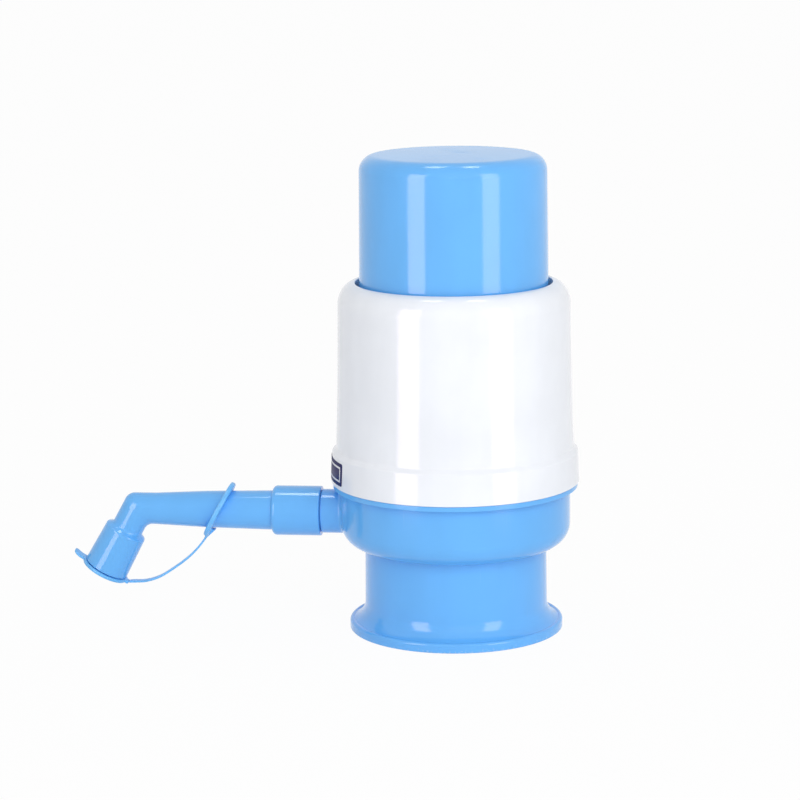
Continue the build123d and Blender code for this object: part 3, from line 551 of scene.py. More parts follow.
def block(centre, size, turn=0.0):
    """A box, turned about Z round the origin after it is placed."""
    bm = bmesh.new()
    bmesh.ops.create_cube(bm, size=1.0)
    place = Matrix.Rotation(turn, 4, "Z") @ Matrix.Translation(centre) @ Matrix.Diagonal((*size, 1))
    return moved(bm, place)


def screw_post(low, high, radius, bore, hole_low, hole_high, circle, turn):
    """A round post with a blind screw hole that opens at its low end, or at its high end."""
    if hole_high >= high:
        post = Outline(0, low).to(radius, low).to(radius, high).to(bore, high)
        post.to(bore, hole_low).to(0, hole_low)
    else:
        post = Outline(0, high).to(radius, high).to(radius, low).to(bore, low)
        post.to(bore, hole_high).to(0, hole_high)
    spun = post.spin(32)
    return moved(spun, Matrix.Rotation(turn, 4, "Z") @ Matrix.Translation((circle, 0, 0)))


def four_posts(low, high, radius, hole_low, hole_high, circle):
    """Screw posts between the X and Y axes, one in each quarter."""
    turns = [radians(45 + 90 * quarter) for quarter in range(4)]
    return [
        screw_post(low, high, radius, screw_bore, hole_low, hole_high, circle, turn)
        for turn in turns
    ]


def placed(name, data):
    """A new object in the scene."""
    made = bpy.data.objects.new(name, data)
    bpy.context.scene.collection.objects.link(made)
    return made


def mesh_object(name, bm):
    """A linked object with smooth faces, and with its edges over the sharp angle kept hard."""
    for face in bm.faces:
        face.smooth = True
    for edge in bm.edges:
        edge.smooth = not edge.is_manifold or edge.calc_face_angle(0) < sharp_angle
    mesh = bpy.data.meshes.new(name)
    bm.to_mesh(mesh)
    bm.free()
    return placed(name, mesh)


def settle(piece):
    """Applies the piece's modifiers to its mesh."""
    seen = piece.evaluated_get(bpy.context.evaluated_depsgraph_get())
    finished = bpy.data.meshes.new_from_object(seen)
    piece.modifiers.clear()
    piece.data = finished


def even_light(piece):
    """Lets broad faces set the normals, so that rounded edges don't bend the gloss."""
    weighted = piece.modifiers.new("Even light", "WEIGHTED_NORMAL")
    weighted.keep_sharp = True
    weighted.weight = 80


def coat(piece, slot):
    """Gives a piece the finish of a material slot, and no other."""
    piece.data.materials.clear()
    piece.data.materials.append(bpy.data.materials[finish_name(slot)])


def dress(piece, body, slot, node):
    """Gives a piece its finish and its body, and hides the solid that it stands for."""
    coat(piece, slot)
    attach(piece, body)
    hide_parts(node)


def hard_moulding(node, body, slot, bm):
    """A glossy moulding in the place of a solid."""
    piece = mesh_object(f"{node}_moulding", bm)
    dress(piece, body, slot, node)
    even_light(piece)


# ---- sizes and places that several pieces share
screw_bore = 1.55 * mm
plain_edge = 0.3 * mm
snap_bead = 0.45 * mm
press_travel = 45.0 * mm
squeeze_travel = 2.1 * mm
cap_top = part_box("press_cap")[1].z
cap_flange_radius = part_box("press_cap")[1].x
cap_flange_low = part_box("press_cap")[0].z
cap_flange_thickness = 3.0 * mm
cap_post_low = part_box("top_plate")[1].z
housing_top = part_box("housing")[1].z
housing_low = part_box("housing")[0].z
shoulder_low = housing_top - 9.4 * mm
sleeve_low = housing_top - 15.5 * mm
flange_step = 77.8 * mm
flange_top = 76.0 * mm
upstand_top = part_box("base_bowl")[1].z
snap_low = upstand_top - 4.8 * mm
snap_height = 1.6 * mm
bowl_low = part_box("base_bowl")[0].z
deck_seat = 61.5 * mm
collar_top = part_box("clamp_collar")[1].z
stub_end = 56.4 * mm
bead_reach = 60.0 * mm
seal_reach = 66.0 * mm
bell_mouth = 56.7 * mm
bell_end = 77.4 * mm
taper_reach = 106.0 * mm
label_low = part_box("front_label")[0].z
label_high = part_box("front_label")[1].z
label_radius = 51.9 * mm
label_half_angle = radians(31)


# ======== operators, one for each piece
class PUMP_OT_finishes(bpy.types.Operator):
    """Finishes of all the pieces, each under the name of the material slot that it dresses"""

    bl_idname = "pump.finishes"
    bl_label = "Finishes"

    def execute(self, context):
        colours = context.scene.pump_colours
        gloss_plastic("blue_plastic", colours.blue[:], 0.115, scuff_colour=(0.45, 0.62, 0.80, 1))
        gloss_plastic("white_plastic", colours.white[:], 0.13, scuff_colour=(0.55, 0.56, 0.58, 1))
        soft_plastic("soft_blue", colours.soft_blue[:])
        satin_plastic("inner_plastic", colours.inner[:])
        label_print("label_film", colours)
        rubber("bellows_rubber", colours.bellows[:], bloom=(0.72, 0.74, 0.78, 1))
        rubber("valve_rubber", colours.valve[:], bloom=(0.62, 0.62, 0.62, 1))
        rubber("seal_rubber", colours.seal[:], bloom=(0.07, 0.07, 0.075, 1))
        drawn_steel("spring_steel", colours.steel[:])
        drawn_steel("screw_steel", shade(colours.steel[:], 0.9))
        return {"FINISHED"}


class PUMP_OT_press_cap(bpy.types.Operator):
    """Press cap: a tall cup with a faintly crowned top, a retaining flange and four posts inside"""

    bl_idname = "pump.press_cap"
    bl_label = "Press Cap"

    def execute(self, context):
        body = context.scene.pump_body
        roof = cap_top - body.wall
        crown_radius = 30 * mm
        edge_height = cap_top - body.cap_crown
        crown_drop = body.cap_crown * (crown_radius / body.cap_radius)
        cup = Outline(0, cap_top)
        cup.bow(crown_radius, cap_top - crown_drop, 0.25 * crown_drop, 10)
        cup.to(body.cap_radius, edge_height, body.cap_edge)
        cup.to(body.cap_low_radius, cap_flange_low + cap_flange_thickness, plain_edge)
        cup.to(cap_flange_radius, cap_flange_low + cap_flange_thickness, body.edge)
        cup.to(cap_flange_radius, cap_flange_low, body.edge)
        cup.to(body.cap_low_radius - body.wall, cap_flange_low, plain_edge)
        cup.to(body.cap_radius - body.wall, roof, body.cap_edge - body.wall)
        cup.to(0, roof)
        post_radius = 3.2 * mm
        post_circle = 23 * mm
        hole_top = roof - 2.4 * mm
        post_top = roof + 0.2 * mm
        posts = four_posts(cap_post_low, post_top, post_radius, cap_post_low, hole_top, post_circle)
        hard_moulding("press_cap", "press", "blue_plastic", joined(cup.spin(body.steps), *posts))
        return {"FINISHED"}


class PUMP_OT_housing(bpy.types.Operator):
    """Housing: wall with a rounded shoulder, a guide sleeve, a stepped flange and stop ribs"""

    bl_idname = "pump.housing"
    bl_label = "Housing"

    def execute(self, context):
        body = context.scene.pump_body
        sleeve_radius = body.opening_radius + 1.9 * mm
        counterbore = 49.6 * mm
        wall_bow = 0.25 * mm
        counterbore_top = upstand_top + 0.3 * mm
        lead = 0.28 * mm
        snap_high = snap_low + snap_height
        shell = Outline(body.opening_radius, housing_top, body.edge)
        shell.shoulder(body.shoulder_radius, shoulder_low)
        shell.bow(body.low_radius, flange_step, -wall_bow, 10)
        shell.note(0.9 * mm)
        shell.to(body.flange_radius, flange_top, 1.1 * mm)
        shell.to(body.flange_foot_radius, housing_low, body.edge)
        shell.to(counterbore, housing_low, 0.2 * mm)
        shell.to(counterbore, snap_low - lead)
        shell.to(counterbore + snap_bead, snap_low)
        shell.to(counterbore + snap_bead, snap_high)
        shell.to(counterbore, snap_high + lead)
        shell.to(counterbore, counterbore_top)
        shell.to(body.low_radius - body.wall, counterbore_top)
        shell.to(body.low_radius - body.wall, flange_step)
        shell.bow(body.shoulder_radius - body.wall, shoulder_low, wall_bow, 10)
        shell.to(sleeve_radius, housing_top - body.wall, 1.2 * mm)
        shell.to(sleeve_radius, sleeve_low, plain_edge)
        shell.to(body.opening_radius, sleeve_low, plain_edge)
        shell.close()
        rib_count = 6
        rib_height = 9.0 * mm
        rib_middle = cap_flange_low - press_travel - 0.3 * mm - rib_height / 2
        rib_reach = 44.0 * mm
        rib_root = body.low_radius - body.wall / 2
        rib_centre = ((rib_reach + rib_root) / 2, 0, rib_middle)
        rib_size = (rib_root - rib_reach, 1.6 * mm, rib_height)
        turns = [full_turn * way / rib_count for way in range(rib_count)]
        ribs = [block(rib_centre, rib_size, turn) for turn in turns]
        hard_moulding("housing", "base", "white_plastic", joined(shell.spin(body.steps), *ribs))
        return {"FINISHED"}


class PUMP_OT_bowl(bpy.types.Operator):
    """Base bowl: rim band, rounded bottom, snap upstand, four posts and the outlet stub"""

    bl_idname = "pump.bowl"
    bl_label = "Base Bowl"

    def execute(self, context):
        body, spout = context.scene.pump_body, context.scene.pump_spout
        wall = 2.5 * mm
        bore = body.bowl_radius - wall
        lip = 36.9 * mm
        rim_top = housing_low - 0.08 * mm
        upstand = 49.3 * mm
        upstand_wall = 2.7 * mm
        rim_low = housing_low - 2.2 * mm
        rim_edge = 0.25 * mm
        bowl = Outline(lip, bowl_low, body.edge)
        bowl.to(body.bowl_radius, bowl_low, body.bowl_corner)
        bowl.to(body.bowl_radius, rim_low, rim_edge)
        bowl.to(body.rim_radius, rim_low, rim_edge)
        bowl.to(body.rim_radius, rim_top, plain_edge)
        bowl.to(upstand, rim_top, 0.2 * mm)
        bowl.to(upstand, snap_low)
        bowl.to(upstand + snap_bead, snap_low + snap_bead)
        bowl.to(upstand + snap_bead, snap_low + snap_height - snap_bead)
        bowl.to(upstand, snap_low + snap_height)
        bowl.to(upstand, upstand_top, 0.4 * mm)
        bowl.to(upstand - upstand_wall, upstand_top, 0.4 * mm)
        bowl.to(upstand - upstand_wall, deck_seat)
        bowl.to(bore, deck_seat)
        bowl.to(bore, bowl_low + wall, body.bowl_corner - wall)
        bowl.to(lip, bowl_low + wall, body.edge)
        bowl.close()
        post_radius = 3.6 * mm
        post_circle = 42.3 * mm
        hole_low = deck_seat - 12 * mm
        post_low = bowl_low + wall / 2
        posts = four_posts(post_low, deck_seat, post_radius, hole_low, deck_seat, post_circle)
        for vert in (vert for post in posts for vert in post.verts):
            past = max(0.0, vert.co.xy.length - (body.bowl_radius - body.bowl_corner))
            corner_rise = body.bowl_corner - sqrt(body.bowl_corner**2 - past**2)
            vert.co.z = max(vert.co.z, bowl_low + corner_rise + 0.3 * mm)
        stub_root = 46.2 * mm
        stub_radius = 9.25 * mm
        stub_bore = 6.25 * mm
        blend = 1.5 * mm
        quarter_rise = 0.293
        spigot = 8.3 * mm
        spigot_end = 74.0 * mm
        bead_end = bead_reach + 1.6 * mm
        stub = Outline(stub_bore, stub_root)
        stub.to(stub_radius + blend, stub_root)
        stub.to(stub_radius + blend, body.bowl_radius)
        stub.bow(stub_radius, body.bowl_radius + blend, quarter_rise * blend, 8)
        stub.to(stub_radius, stub_end, body.edge)
        stub.to(spigot, stub_end)
        stub.to(spigot, bead_reach)
        stub.to(spigot + snap_bead, bead_reach + snap_bead)
        stub.to(spigot + snap_bead, bead_end)
        stub.to(spigot, bead_end + snap_bead)
        seal_half = 0.7 * mm
        seal_depth = 1.2 * mm
        stub.to(spigot, seal_reach - seal_half)
        stub.to(spigot - seal_depth, seal_reach - seal_half)
        stub.to(spigot - seal_depth, seal_reach + seal_half)
        stub.to(spigot, seal_reach + seal_half)
        stub.to(spigot, spigot_end, plain_edge)
        stub.to(stub_bore, spigot_end)
        stub.close()
        pipe = stub.spin(spout.steps)
        for vert in pipe.verts:
            if vert.co.z < body.bowl_radius + 1.1 * blend:
                under = max(0.0, bowl_low + body.bowl_corner - (spout.height + vert.co.x))
                inset = body.bowl_corner - sqrt(body.bowl_corner**2 - under**2)
                wall_radius = body.bowl_radius - inset
                vert.co.z -= body.bowl_radius - sqrt(wall_radius**2 - vert.co.y**2)
        whole = joined(bowl.spin(body.steps), *posts, moved(pipe, along_spout(spout)))
        hard_moulding("base_bowl", "base", "blue_plastic", whole)
        return {"FINISHED"}


class PUMP_OT_collar(bpy.types.Operator):
    """Clamp collar: skirt, flared foot with its bead, and a ridge round its top"""

    bl_idname = "pump.collar"
    bl_label = "Clamp Collar"

    def execute(self, context):
        body = context.scene.pump_body
        bore = 35.3 * mm
        bead_top = 3.0 * mm
        bead_bulge = 0.53 * mm
        flare_foot_radius = 43.0 * mm
        flare_low = 4.0 * mm
        flare_high = 11.5 * mm
        flare_hollow = 1.35 * mm
        skirt_top_radius = 38.1 * mm
        neck = 36.6 * mm
        skirt_top = collar_top - 4.6 * mm + 0.2 * mm
        ridge = 38.3 * mm
        ridge_low = collar_top - 1.5 * mm
        ridge_high = collar_top - 0.5 * mm
        skirt = Outline(bore, 0, body.edge)
        skirt.to(body.foot_radius, 0, 0.5 * mm)
        skirt.to(body.foot_radius, bead_top)
        skirt.bow(flare_foot_radius, flare_low, -bead_bulge, 8)
        skirt.bow(body.skirt_radius, flare_high, flare_hollow)
        skirt.to(skirt_top_radius, skirt_top, 0.25 * mm)
        skirt.to(neck, skirt_top)
        skirt.to(neck, ridge_low)
        skirt.to(ridge, ridge_low)
        skirt.to(ridge, ridge_high)
        skirt.to(neck, collar_top)
        skirt.to(bore, collar_top, 0.3 * mm)
        skirt.close()
        hard_moulding("clamp_collar", "clamp_collar", "blue_plastic", skirt.spin(body.steps))
        return {"FINISHED"}


outward = Matrix(((0, 0, -1, 0), (0, 1, 0, 0), (1, 0, 0, 0), (0, 0, 0, 1)))


def along_spout(spout):
    """Takes the drawing's Z to the spout's way out, at its height, and its X upwards."""
    return Matrix.Translation((0, 0, spout.height)) @ outward


def along_nozzle(spout):
    """Takes the drawing's Z to the nozzle's way out, from the corner of the spout's middle line."""
    corner = Matrix.Translation((-spout.corner, 0, spout.height))
    swing = Matrix.Rotation(-spout.bend_angle, 4, "Y")
    return corner @ swing @ Matrix.Translation((0, 0, -spout.height)) @ along_spout(spout)


nozzle_mouth = 29.9 * mm
lid_gap = 0.3 * mm
strap_ring_reach = 100.5 * mm
hinge_offset = 10.8 * mm
knuckle_radius = 0.75 * mm
strap_course = ((-131.4, 17.1), (-122.6, 21.3), (-107.2, 35.4))


def widened(bm, grown, width):
    """Carries freshly extruded faces across by a width and closes the form."""
    far_side = [part for part in grown["geom"] if isinstance(part, bmesh.types.BMVert)]
    bmesh.ops.translate(bm, vec=(0, width, 0), verts=far_side)
    bmesh.ops.recalc_face_normals(bm, faces=bm.faces[:])


def mitred(tube, corner, onward):
    """Cuts a tube off at a slanting plane through the corner and leaves it open there."""
    bmesh.ops.bisect_plane(
        tube,
        geom=tube.verts[:] + tube.edges[:] + tube.faces[:],
        dist=merge_distance,
        plane_co=corner,
        plane_no=onward,
        clear_outer=True,
    )
    return tube


class PUMP_OT_spout(bpy.types.Operator):
    """Spout: bell, tapered tube, mitred elbow and nozzle as one hollow moulding"""

    bl_idname = "pump.spout"
    bl_label = "Spout"

    def execute(self, context):
        spout = context.scene.pump_spout
        inner = 4.9 * mm
        bell_bore = 8.45 * mm
        groove_low = bead_reach - 0.3 * mm
        groove_high = 62.35 * mm
        bell_floor = 75.7 * mm
        funnel_radius = 6.2 * mm
        funnel_mouth = 77.1 * mm
        straight_end = spout.corner - 8 * mm
        overrun = 14 * mm
        tube = Outline(inner, spout.corner + overrun)
        tube.to(inner, straight_end)
        tube.to(funnel_radius, funnel_mouth)
        tube.to(bell_bore, bell_floor)
        tube.to(bell_bore, groove_high)
        tube.to(bell_bore + snap_bead, groove_high - snap_bead)
        tube.to(bell_bore + snap_bead, groove_low + snap_bead)
        tube.to(bell_bore, groove_low)
        tube.to(bell_bore, bell_mouth, 0.2 * mm)
        tube.to(spout.bell_radius, bell_mouth, 0.35 * mm)
        tube.to(spout.bell_radius, bell_end, 1.9 * mm)
        tube.to(spout.root_radius, bell_end, 0.4 * mm)
        tube.to(spout.middle_radius, taper_reach)
        tube.to(spout.elbow_radius, straight_end)
        tube.to(spout.elbow_radius, spout.corner + overrun)
        nozzle_root = 8.95 * mm
        nozzle_bore = 8.0 * mm
        flare_low = 9.9 * mm
        flare_high = 11.3 * mm
        bore_low = 12.7 * mm
        bore_high = 14.5 * mm
        nozzle = Outline(spout.elbow_radius, -overrun)
        nozzle.to(spout.elbow_radius, flare_low, 1.6 * mm)
        nozzle.to(nozzle_root, flare_high, 0.8 * mm)
        nozzle.to(spout.nozzle_radius, nozzle_mouth, 0.4 * mm)
        nozzle.to(nozzle_bore, nozzle_mouth, plain_edge)
        nozzle.to(nozzle_bore, bore_high, 1.0 * mm)
        nozzle.to(inner, bore_low, 1.0 * mm)
        nozzle.to(inner, -overrun)
        corner = Vector((-spout.corner, 0, spout.height))
        bend = spout.bend_angle
        onward = (Vector((-1, 0, 0)) + Vector((-cos(bend), 0, -sin(bend)))).normalized()
        straight = mitred(moved(tube.spin(spout.steps), along_spout(spout)), corner, onward)
        mouth = mitred(moved(nozzle.spin(spout.steps), along_nozzle(spout)), corner, -onward)
        whole = joined(straight, mouth)
        bmesh.ops.remove_doubles(whole, verts=whole.verts[:], dist=0.002 * mm)
        bmesh.ops.recalc_face_normals(whole, faces=whole.faces[:])
        middle = (inner + spout.elbow_radius) / 2 / cos(bend / 2)
        mitre = [
            edge
            for edge in whole.edges
            if all(abs((vert.co - corner).dot(onward)) < 0.001 * mm for vert in edge.verts)
            and all((vert.co - corner).length > middle for vert in edge.verts)
        ]
        bevel(whole, mitre, "EDGES", spout.elbow_edge, 8)
        hard_moulding("spout", "spout", "blue_plastic", whole)
        return {"FINISHED"}


def soft_moulding(name, parts):
    """Melts overlapping closed parts into one soft moulding with small blends between them."""
    piece = mesh_object(name, joined(*parts))
    melt = piece.modifiers.new("Melt", "REMESH")
    melt.mode = "VOXEL"
    melt.voxel_size = 0.2 * mm
    melt.use_smooth_shade = True
    relax = piece.modifiers.new("Relax", "SMOOTH")
    relax.factor = 0.5
    relax.iterations = 3
    settle(piece)
    return piece


class PUMP_OT_dust_cap(bpy.types.Operator):
    """Dust cap: dished lid with its plug, a bent thumb tab and the knuckle of the strap"""

    bl_idname = "pump.dust_cap"
    bl_label = "Dust Cap"

    def execute(self, context):
        spout = context.scene.pump_spout
        near = nozzle_mouth + lid_gap
        far = near + spout.lid_thickness
        plug_bore = 6.4 * mm
        plug_tip_bore = 5.8 * mm
        plug_tip = 7.0 * mm
        plug_root = 7.6 * mm
        plug_low = near - 4 * mm
        dish = 7.5 * mm
        dish_floor = far - 0.5 * mm
        lid = Outline(0, near)
        lid.to(plug_bore, near).to(plug_tip_bore, plug_low).to(plug_tip, plug_low, 0.4 * mm)
        lid.to(plug_root, near).to(spout.lid_radius, near, 0.35 * mm)
        lid.to(spout.lid_radius, far, 0.5 * mm)
        lid.to(dish, far, 0.4 * mm).to(dish - 0.5 * mm, dish_floor, 0.4 * mm).to(0, dish_floor)
        plate = lid.spin(spout.steps)
        root = spout.lid_radius - spout.lid_thickness
        tip = 15.3 * mm
        droop = 1.1 * mm
        thinning = 0.35 * mm
        tab = block(
            ((root + tip) / 2, 0, near + spout.tab_thickness / 2),
            (tip - root, spout.tab_width, spout.tab_thickness),
        )
        corners = [
            edge
            for edge in tab.edges
            if abs(edge.verts[0].co.z - edge.verts[1].co.z) > mm and edge.verts[0].co.x > root + mm
        ]
        bevel(tab, corners, "EDGES", 0.45 * spout.tab_width, 8)
        slices = 8
        for step in range(1, slices):
            bmesh.ops.bisect_plane(
                tab,
                geom=tab.verts[:] + tab.edges[:] + tab.faces[:],
                plane_co=(spout.lid_radius + (tip - spout.lid_radius) * step / slices, 0, 0),
                plane_no=(1, 0, 0),
            )
        for vert in tab.verts:
            past = max(0.0, vert.co.x - spout.lid_radius) / (tip - spout.lid_radius)
            vert.co.z -= droop * past**2
            vert.co.z += thinning * past * (vert.co.z < near + spout.tab_thickness / 2 - past)
        middle = (near + far) / 2
        web = block(
            (-(root + hinge_offset) / 2, 0, middle),
            (hinge_offset - root, spout.strap_width, spout.lid_thickness - 0.3 * mm),
        )
        half = spout.strap_width / 2
        knuckle = Outline(0, -half).to(knuckle_radius, -half).to(knuckle_radius, half).to(0, half)
        pin_place = Matrix.Translation((-hinge_offset, 0, middle)) @ Matrix.Rotation(pi / 2, 4, "X")
        pin = moved(knuckle.spin(24), pin_place)
        piece = soft_moulding("dust_cap_moulding", [plate, tab, web, pin])
        piece.data.transform(along_nozzle(spout))
        dress(piece, "dust_cap", "soft_blue", "dust_cap")
        return {"FINISHED"}


class PUMP_OT_strap(bpy.types.Operator):
    """Strap: the ring round the tube, its thickened root and the curved band to the dust cap"""

    bl_idname = "pump.strap"
    bl_label = "Cap Strap"

    def execute(self, context):
        spout = context.scene.pump_spout
        tilt = spout.ring_tilt
        hinge = along_nozzle(spout) @ Vector(
            (-hinge_offset, 0, nozzle_mouth + lid_gap + spout.lid_thickness / 2)
        )
        foot_out = spout.ring_radius - spout.ring_thickness
        foot = Vector(
            (-strap_ring_reach - foot_out * sin(tilt), 0, spout.height - foot_out * cos(tilt))
        )
        points = [Vector((along * mm, 0, height * mm)) for along, height in strap_course]
        start = hinge + (points[0] - hinge).normalized() * (knuckle_radius + 0.1 * mm)
        band = self.band(spout, [start, *points, foot])
        ring = self.ring(spout, tilt)
        root = self.root(spout, foot, points[2])
        piece = soft_moulding("cap_strap_moulding", [band, ring, root])
        dress(piece, "spout", "soft_blue", "cap_strap")
        return {"FINISHED"}

    def band(self, spout, line):
        """A flat band whose middle line runs smoothly through the points."""
        curve = bpy.data.curves.new("strap_line", "CURVE")
        curve.dimensions = "3D"
        curve.resolution_u = 16
        spline = curve.splines.new("BEZIER")
        spline.bezier_points.add(len(line) - 1)
        for handle, point in zip(spline.bezier_points, line):
            handle.co = point
            handle.handle_left_type = "AUTO"
            handle.handle_right_type = "AUTO"
        holder = bpy.data.objects.new("strap_line", curve)
        middle = bpy.data.meshes.new_from_object(holder)
        bpy.data.curves.remove(curve)
        bm = bmesh.new()
        bm.from_mesh(middle)
        bpy.data.meshes.remove(middle)
        bmesh.ops.translate(bm, vec=(0, -spout.strap_width / 2, 0), verts=bm.verts[:])
        widened(bm, bmesh.ops.extrude_edge_only(bm, edges=bm.edges[:]), spout.strap_width)
        for vert in bm.verts:
            vert.normal_update()
        shift = [(vert, vert.normal * spout.strap_thickness / 2) for vert in bm.verts]
        for vert, way in shift:
            vert.co += way
        bmesh.ops.solidify(bm, geom=bm.faces[:], thickness=spout.strap_thickness)
        bmesh.ops.recalc_face_normals(bm, faces=bm.faces[:])
        return bm

    def ring(self, spout, tilt):
        """A disc round the tube, leaning by tilt, whose bore runs along the tube."""
        half = spout.ring_thickness / 2
        share = (strap_ring_reach - bell_end) / (taper_reach - bell_end)
        bore = spout.root_radius + share * (spout.middle_radius - spout.root_radius) + 0.1 * mm
        edge = 0.75 * mm
        disc = Outline(bore, -half)
        disc.to(spout.ring_radius, -half, edge).to(spout.ring_radius, half, edge)
        disc.to(bore, half).close()
        bm = disc.spin(spout.steps)
        inner = [vert for vert in bm.verts if vert.co.xy.length < bore + 0.01 * mm]
        along_tube = Matrix.Diagonal((1 / cos(tilt), 1, 1, 1))
        along_tube[0][2] = -tan(tilt)
        bmesh.ops.transform(bm, matrix=along_tube, verts=inner)
        place = Matrix.Translation((-strap_ring_reach, 0, spout.height))
        return moved(bm, place @ Matrix.Rotation(tilt, 4, "Y") @ outward)

    def root(self, spout, foot, below):
        """The wedge that joins the band to the ring."""
        top = foot + Vector((0, 0, 0.9 * mm))
        tip = below + Vector((0.6 * mm, 0, 0.4 * mm))
        shape = [top + Vector((3.6 * mm, 0, 0)), top - Vector((0.9 * mm, 0, 0)), tip]
        bm = bmesh.new()
        verts = [bm.verts.new(point - Vector((0, spout.strap_width / 2, 0))) for point in shape]
        face = bm.faces.new(verts)
        widened(bm, bmesh.ops.extrude_face_region(bm, geom=[face]), spout.strap_width)
        return bm


class PUMP_OT_label(bpy.types.Operator):
    """Label: a thin printed film with round corners, laid on the flange above the spout"""

    bl_idname = "pump.label"
    bl_label = "Front Label"

    def execute(self, context):
        body = context.scene.pump_body
        stand_off = 0.05 * mm
        film_thickness = 0.15 * mm
        corner_rounding = 0.9 * mm
        taper = (body.flange_foot_radius - body.flange_radius) / (flange_top - housing_low)
        low_radius = body.flange_radius + taper * (flange_top - label_low) + stand_off
        high_radius = body.flange_radius + taper * (flange_top - label_high) + stand_off
        strip = Outline(low_radius, label_low)
        strip.to(high_radius, label_high)
        bm = strip.spin(48, 2 * label_half_angle)
        corners = [vert for vert in bm.verts if len(vert.link_edges) == 2]
        bevel(bm, corners, "VERTICES", corner_rounding, 5)
        bmesh.ops.recalc_face_normals(bm, faces=bm.faces[:])
        moved(bm, Matrix.Rotation(pi - label_half_angle, 4, "Z"))
        piece = mesh_object("front_label_film", bm)
        dress(piece, "base", "label_film", "front_label")
        thick = piece.modifiers.new("Film", "SOLIDIFY")
        thick.thickness = film_thickness
        thick.offset = 1
        return {"FINISHED"}


class PUMP_OT_soft(bpy.types.Operator):
    """Bellows, return spring and neck seal: copies of their solids with their finishes"""

    bl_idname = "pump.soft"
    bl_label = "Bellows, Spring and Neck Seal"

    def execute(self, context):
        for node, name, slot, joint, travel, held in (
            ("bellows", "bellows_sleeve", "bellows_rubber", "press", press_travel, 0),
            ("return_spring", "return_spring_wire", "spring_steel", "press", press_travel, 0),
            ("neck_seal", "neck_seal_ring", "seal_rubber", "neck_squeeze", squeeze_travel, 1),
        ):
            self.shortening(node, name, slot, joint, travel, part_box(node)[held].z)
        return {"FINISHED"}

    def shortening(self, node, name, slot, joint, travel, held):
        """A copy of a solid, with the finish of its slot and the base body, in the solid's place.
        """
        piece = placed(name, nodes[node].data.copy())
        dress(piece, "base", slot, node)
        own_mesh(piece)


class PUMP_OT_solids(bpy.types.Operator):
    """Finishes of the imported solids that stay: the works inside, the clamp and the seals"""

    bl_idname = "pump.solids"
    bl_label = "Finish Inner Pieces"

    def execute(self, context):
        dressed = {part["node"]: part["material_slot"] for part in frame["record"]["subparts"]}
        for name, node in nodes.items():
            if not node.hide_render:
                coat(node, dressed[name])
        return {"FINISHED"}


front_size = (1.6, 1.2)
front_distance = 1.5
front_height = 0.75
strip_size = (0.42, 1.05)
strip_distance = 1.1
strip_height = 0.345
strip_sides = ((-1, "left", 46, 1.0), (1, "right", 44.6, 0.8))
bar_size = (0.28, 0.18)
bar_side = 0.2
bar_back = 0.1
bar_height = 1.25


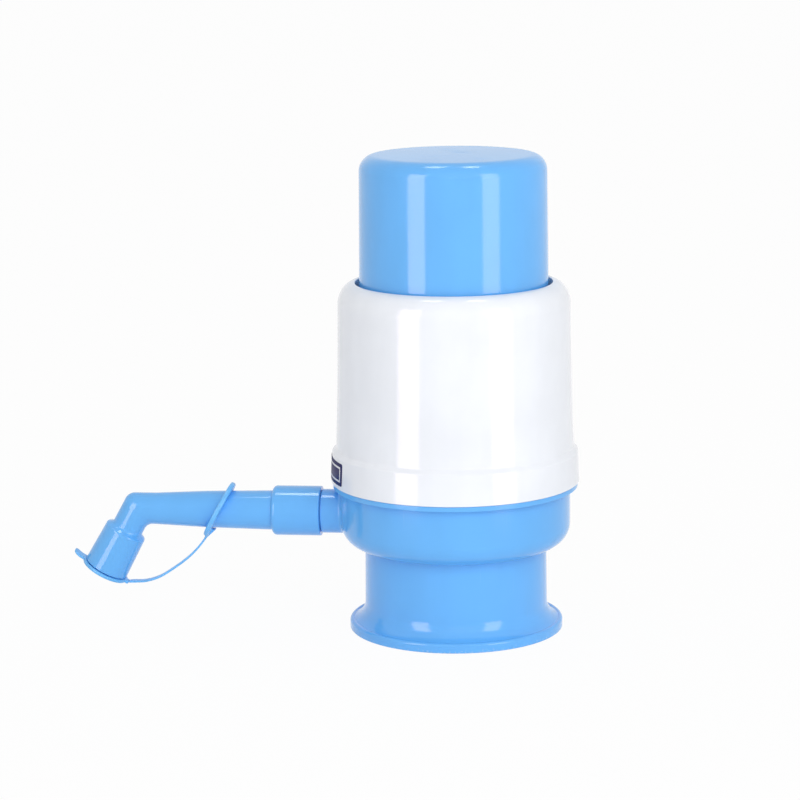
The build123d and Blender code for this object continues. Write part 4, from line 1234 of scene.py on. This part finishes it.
class PUMP_OT_studio(bpy.types.Operator):
    """Studio: pale floor, white surroundings, soft lamps and the camera"""

    bl_idname = "pump.studio"
    bl_label = "Studio"

    def execute(self, context):
        studio = context.scene.pump_studio
        context.scene.view_settings.view_transform = "Standard"
        self.surroundings(context, studio)
        self.floor(context, studio)
        self.lamps(context, studio)
        self.camera(context, studio)
        return {"FINISHED"}

    def surroundings(self, context, studio):
        """White to the camera and in the gloss, and a plain soft light on the object."""
        world = bpy.data.worlds.new("studio")
        context.scene.world = world
        world.use_nodes = True
        shading = Shading(world.node_tree)
        seen = shading.seen_by("Camera", "Glossy", "Transmission")
        share = {"Value": seen, "To Min": studio.world, "To Max": 1.0}
        strength = shading.node("ShaderNodeMapRange", inputs=share)
        background = world.node_tree.nodes["Background"]
        shading.feed(background.inputs["Color"], (1, 1, 1, 1))
        shading.feed(background.inputs["Strength"], strength)

    def floor(self, context, studio):
        """A wide pale floor that keeps the pump's shadow and is see-through from below."""
        bm = bmesh.new()
        bmesh.ops.create_grid(bm, x_segments=2, y_segments=2, size=12)
        floor = mesh_object("floor", bm)
        finish = Finish("floor")
        finish.set(Base_Color=context.scene.pump_colours.floor[:], Roughness=0.9)
        glow = finish.node("ShaderNodeEmission", inputs={"Strength": 1.0})
        share = finish.seen_by("Camera", "Glossy") * studio.floor_glow
        shaded = Signal(finish, finish.shader.outputs[0])
        lit = finish.node("ShaderNodeMixShader", inputs={0: share, 1: shaded, 2: glow})
        below = finish.node("ShaderNodeNewGeometry", output="Backfacing")
        clear = finish.node("ShaderNodeBsdfTransparent")
        sheet = finish.node("ShaderNodeMixShader", inputs={0: below, 1: lit, 2: clear})
        finish.feed(finish.tree.nodes["Material Output"].inputs["Surface"], sheet)
        floor.data.materials.append(finish.material)
        floor.visible_glossy = False

    def lamps(self, context, studio):
        """A wide soft lamp, and four that only the gloss shows: two tall strips and two bars."""
        turn = studio.camera_turn
        front = turn + studio.turn_front
        front_place = (front_distance * sin(front), -front_distance * cos(front), front_height)
        self.lamp("front lamp", studio.front, front_size, front_place)
        glow = context.scene.pump_colours.strip_light[:3]
        for side, name, around, share in strip_sides:
            way = turn + side * radians(around)
            place = (strip_distance * sin(way), -strip_distance * cos(way), strip_height)
            power = studio.strips * share
            strip = self.lamp(
                f"{name} strip", power, strip_size, place, strip_height, in_gloss=True
            )
            strip.data.color = glow
            place = (side * bar_side, bar_back, bar_height)
            self.lamp(f"{name} bar", studio.bars, bar_size, place, in_gloss=True)

    def lamp(self, name, power, size, place, aim_height=0.1, in_gloss=False):
        """A flat lamp that faces the pump's axis and lights either the surfaces or their gloss."""
        light = bpy.data.lights.new(name, "AREA")
        light.shape = "RECTANGLE"
        light.size, light.size_y = size
        light.energy = power
        lamp = placed(name, light)
        lamp.location = place
        aim = Vector((0, 0, aim_height)) - lamp.location
        lamp.rotation_euler = aim.to_track_quat("-Z", "Y").to_euler()
        lamp.visible_camera = False
        lamp.visible_glossy = in_gloss
        lamp.visible_diffuse = not in_gloss
        return lamp

    def camera(self, context, studio):
        """The camera of the photograph: a long lens, a little above the pump."""
        lens = bpy.data.cameras.new("camera")
        lens.sensor_width = 36
        lens.lens = studio.lens
        lens.clip_end = 100
        camera = placed("camera", lens)
        turn = Matrix.Rotation(studio.camera_turn, 4, "Z")
        pitch = Matrix.Rotation(pi / 2 - studio.camera_pitch, 4, "X")
        roll = Matrix.Rotation(studio.camera_roll, 4, "Z")
        place = Matrix.Translation((studio.camera_x, studio.camera_y, studio.camera_z))
        camera.matrix_world = place @ turn @ pitch @ roll
        context.scene.camera = camera


class PUMP_PT_sidebar(bpy.types.Panel):
    """Lists the pump's pieces, sizes and colours"""

    bl_label = "Hand Pump"
    bl_idname = "PUMP_PT_sidebar"
    bl_space_type = "VIEW_3D"
    bl_region_type = "UI"
    bl_category = "Hand Pump"

    def draw(self, context):
        layout = self.layout
        for maker in makers:
            layout.operator(maker.bl_idname)
        for name in groups:
            group = getattr(context.scene, name)
            box = layout.box()
            for value in group.__annotations__:
                box.prop(group, value)


groups = {
    "pump_body": PumpBody,
    "pump_spout": PumpSpout,
    "pump_colours": PumpColours,
    "pump_studio": PumpStudio,
}
makers = (
    PUMP_OT_finishes,
    PUMP_OT_press_cap,
    PUMP_OT_housing,
    PUMP_OT_bowl,
    PUMP_OT_collar,
    PUMP_OT_spout,
    PUMP_OT_dust_cap,
    PUMP_OT_strap,
    PUMP_OT_label,
    PUMP_OT_soft,
    PUMP_OT_solids,
    PUMP_OT_studio,
)


def register():
    for group in groups.values():
        bpy.utils.register_class(group)
    for name, group in groups.items():
        setattr(bpy.types.Scene, name, bpy.props.PointerProperty(type=group))
    for maker in makers:
        bpy.utils.register_class(maker)
    bpy.utils.register_class(PUMP_PT_sidebar)


def unregister():
    bpy.utils.unregister_class(PUMP_PT_sidebar)
    for maker in reversed(makers):
        bpy.utils.unregister_class(maker)
    for name, group in reversed(groups.items()):
        delattr(bpy.types.Scene, name)
        bpy.utils.unregister_class(group)


def main():
    register()
    for maker in makers:
        area, tool = maker.bl_idname.split(".")
        getattr(getattr(bpy.ops, area), tool)()


if __name__ == "__main__":
    main()
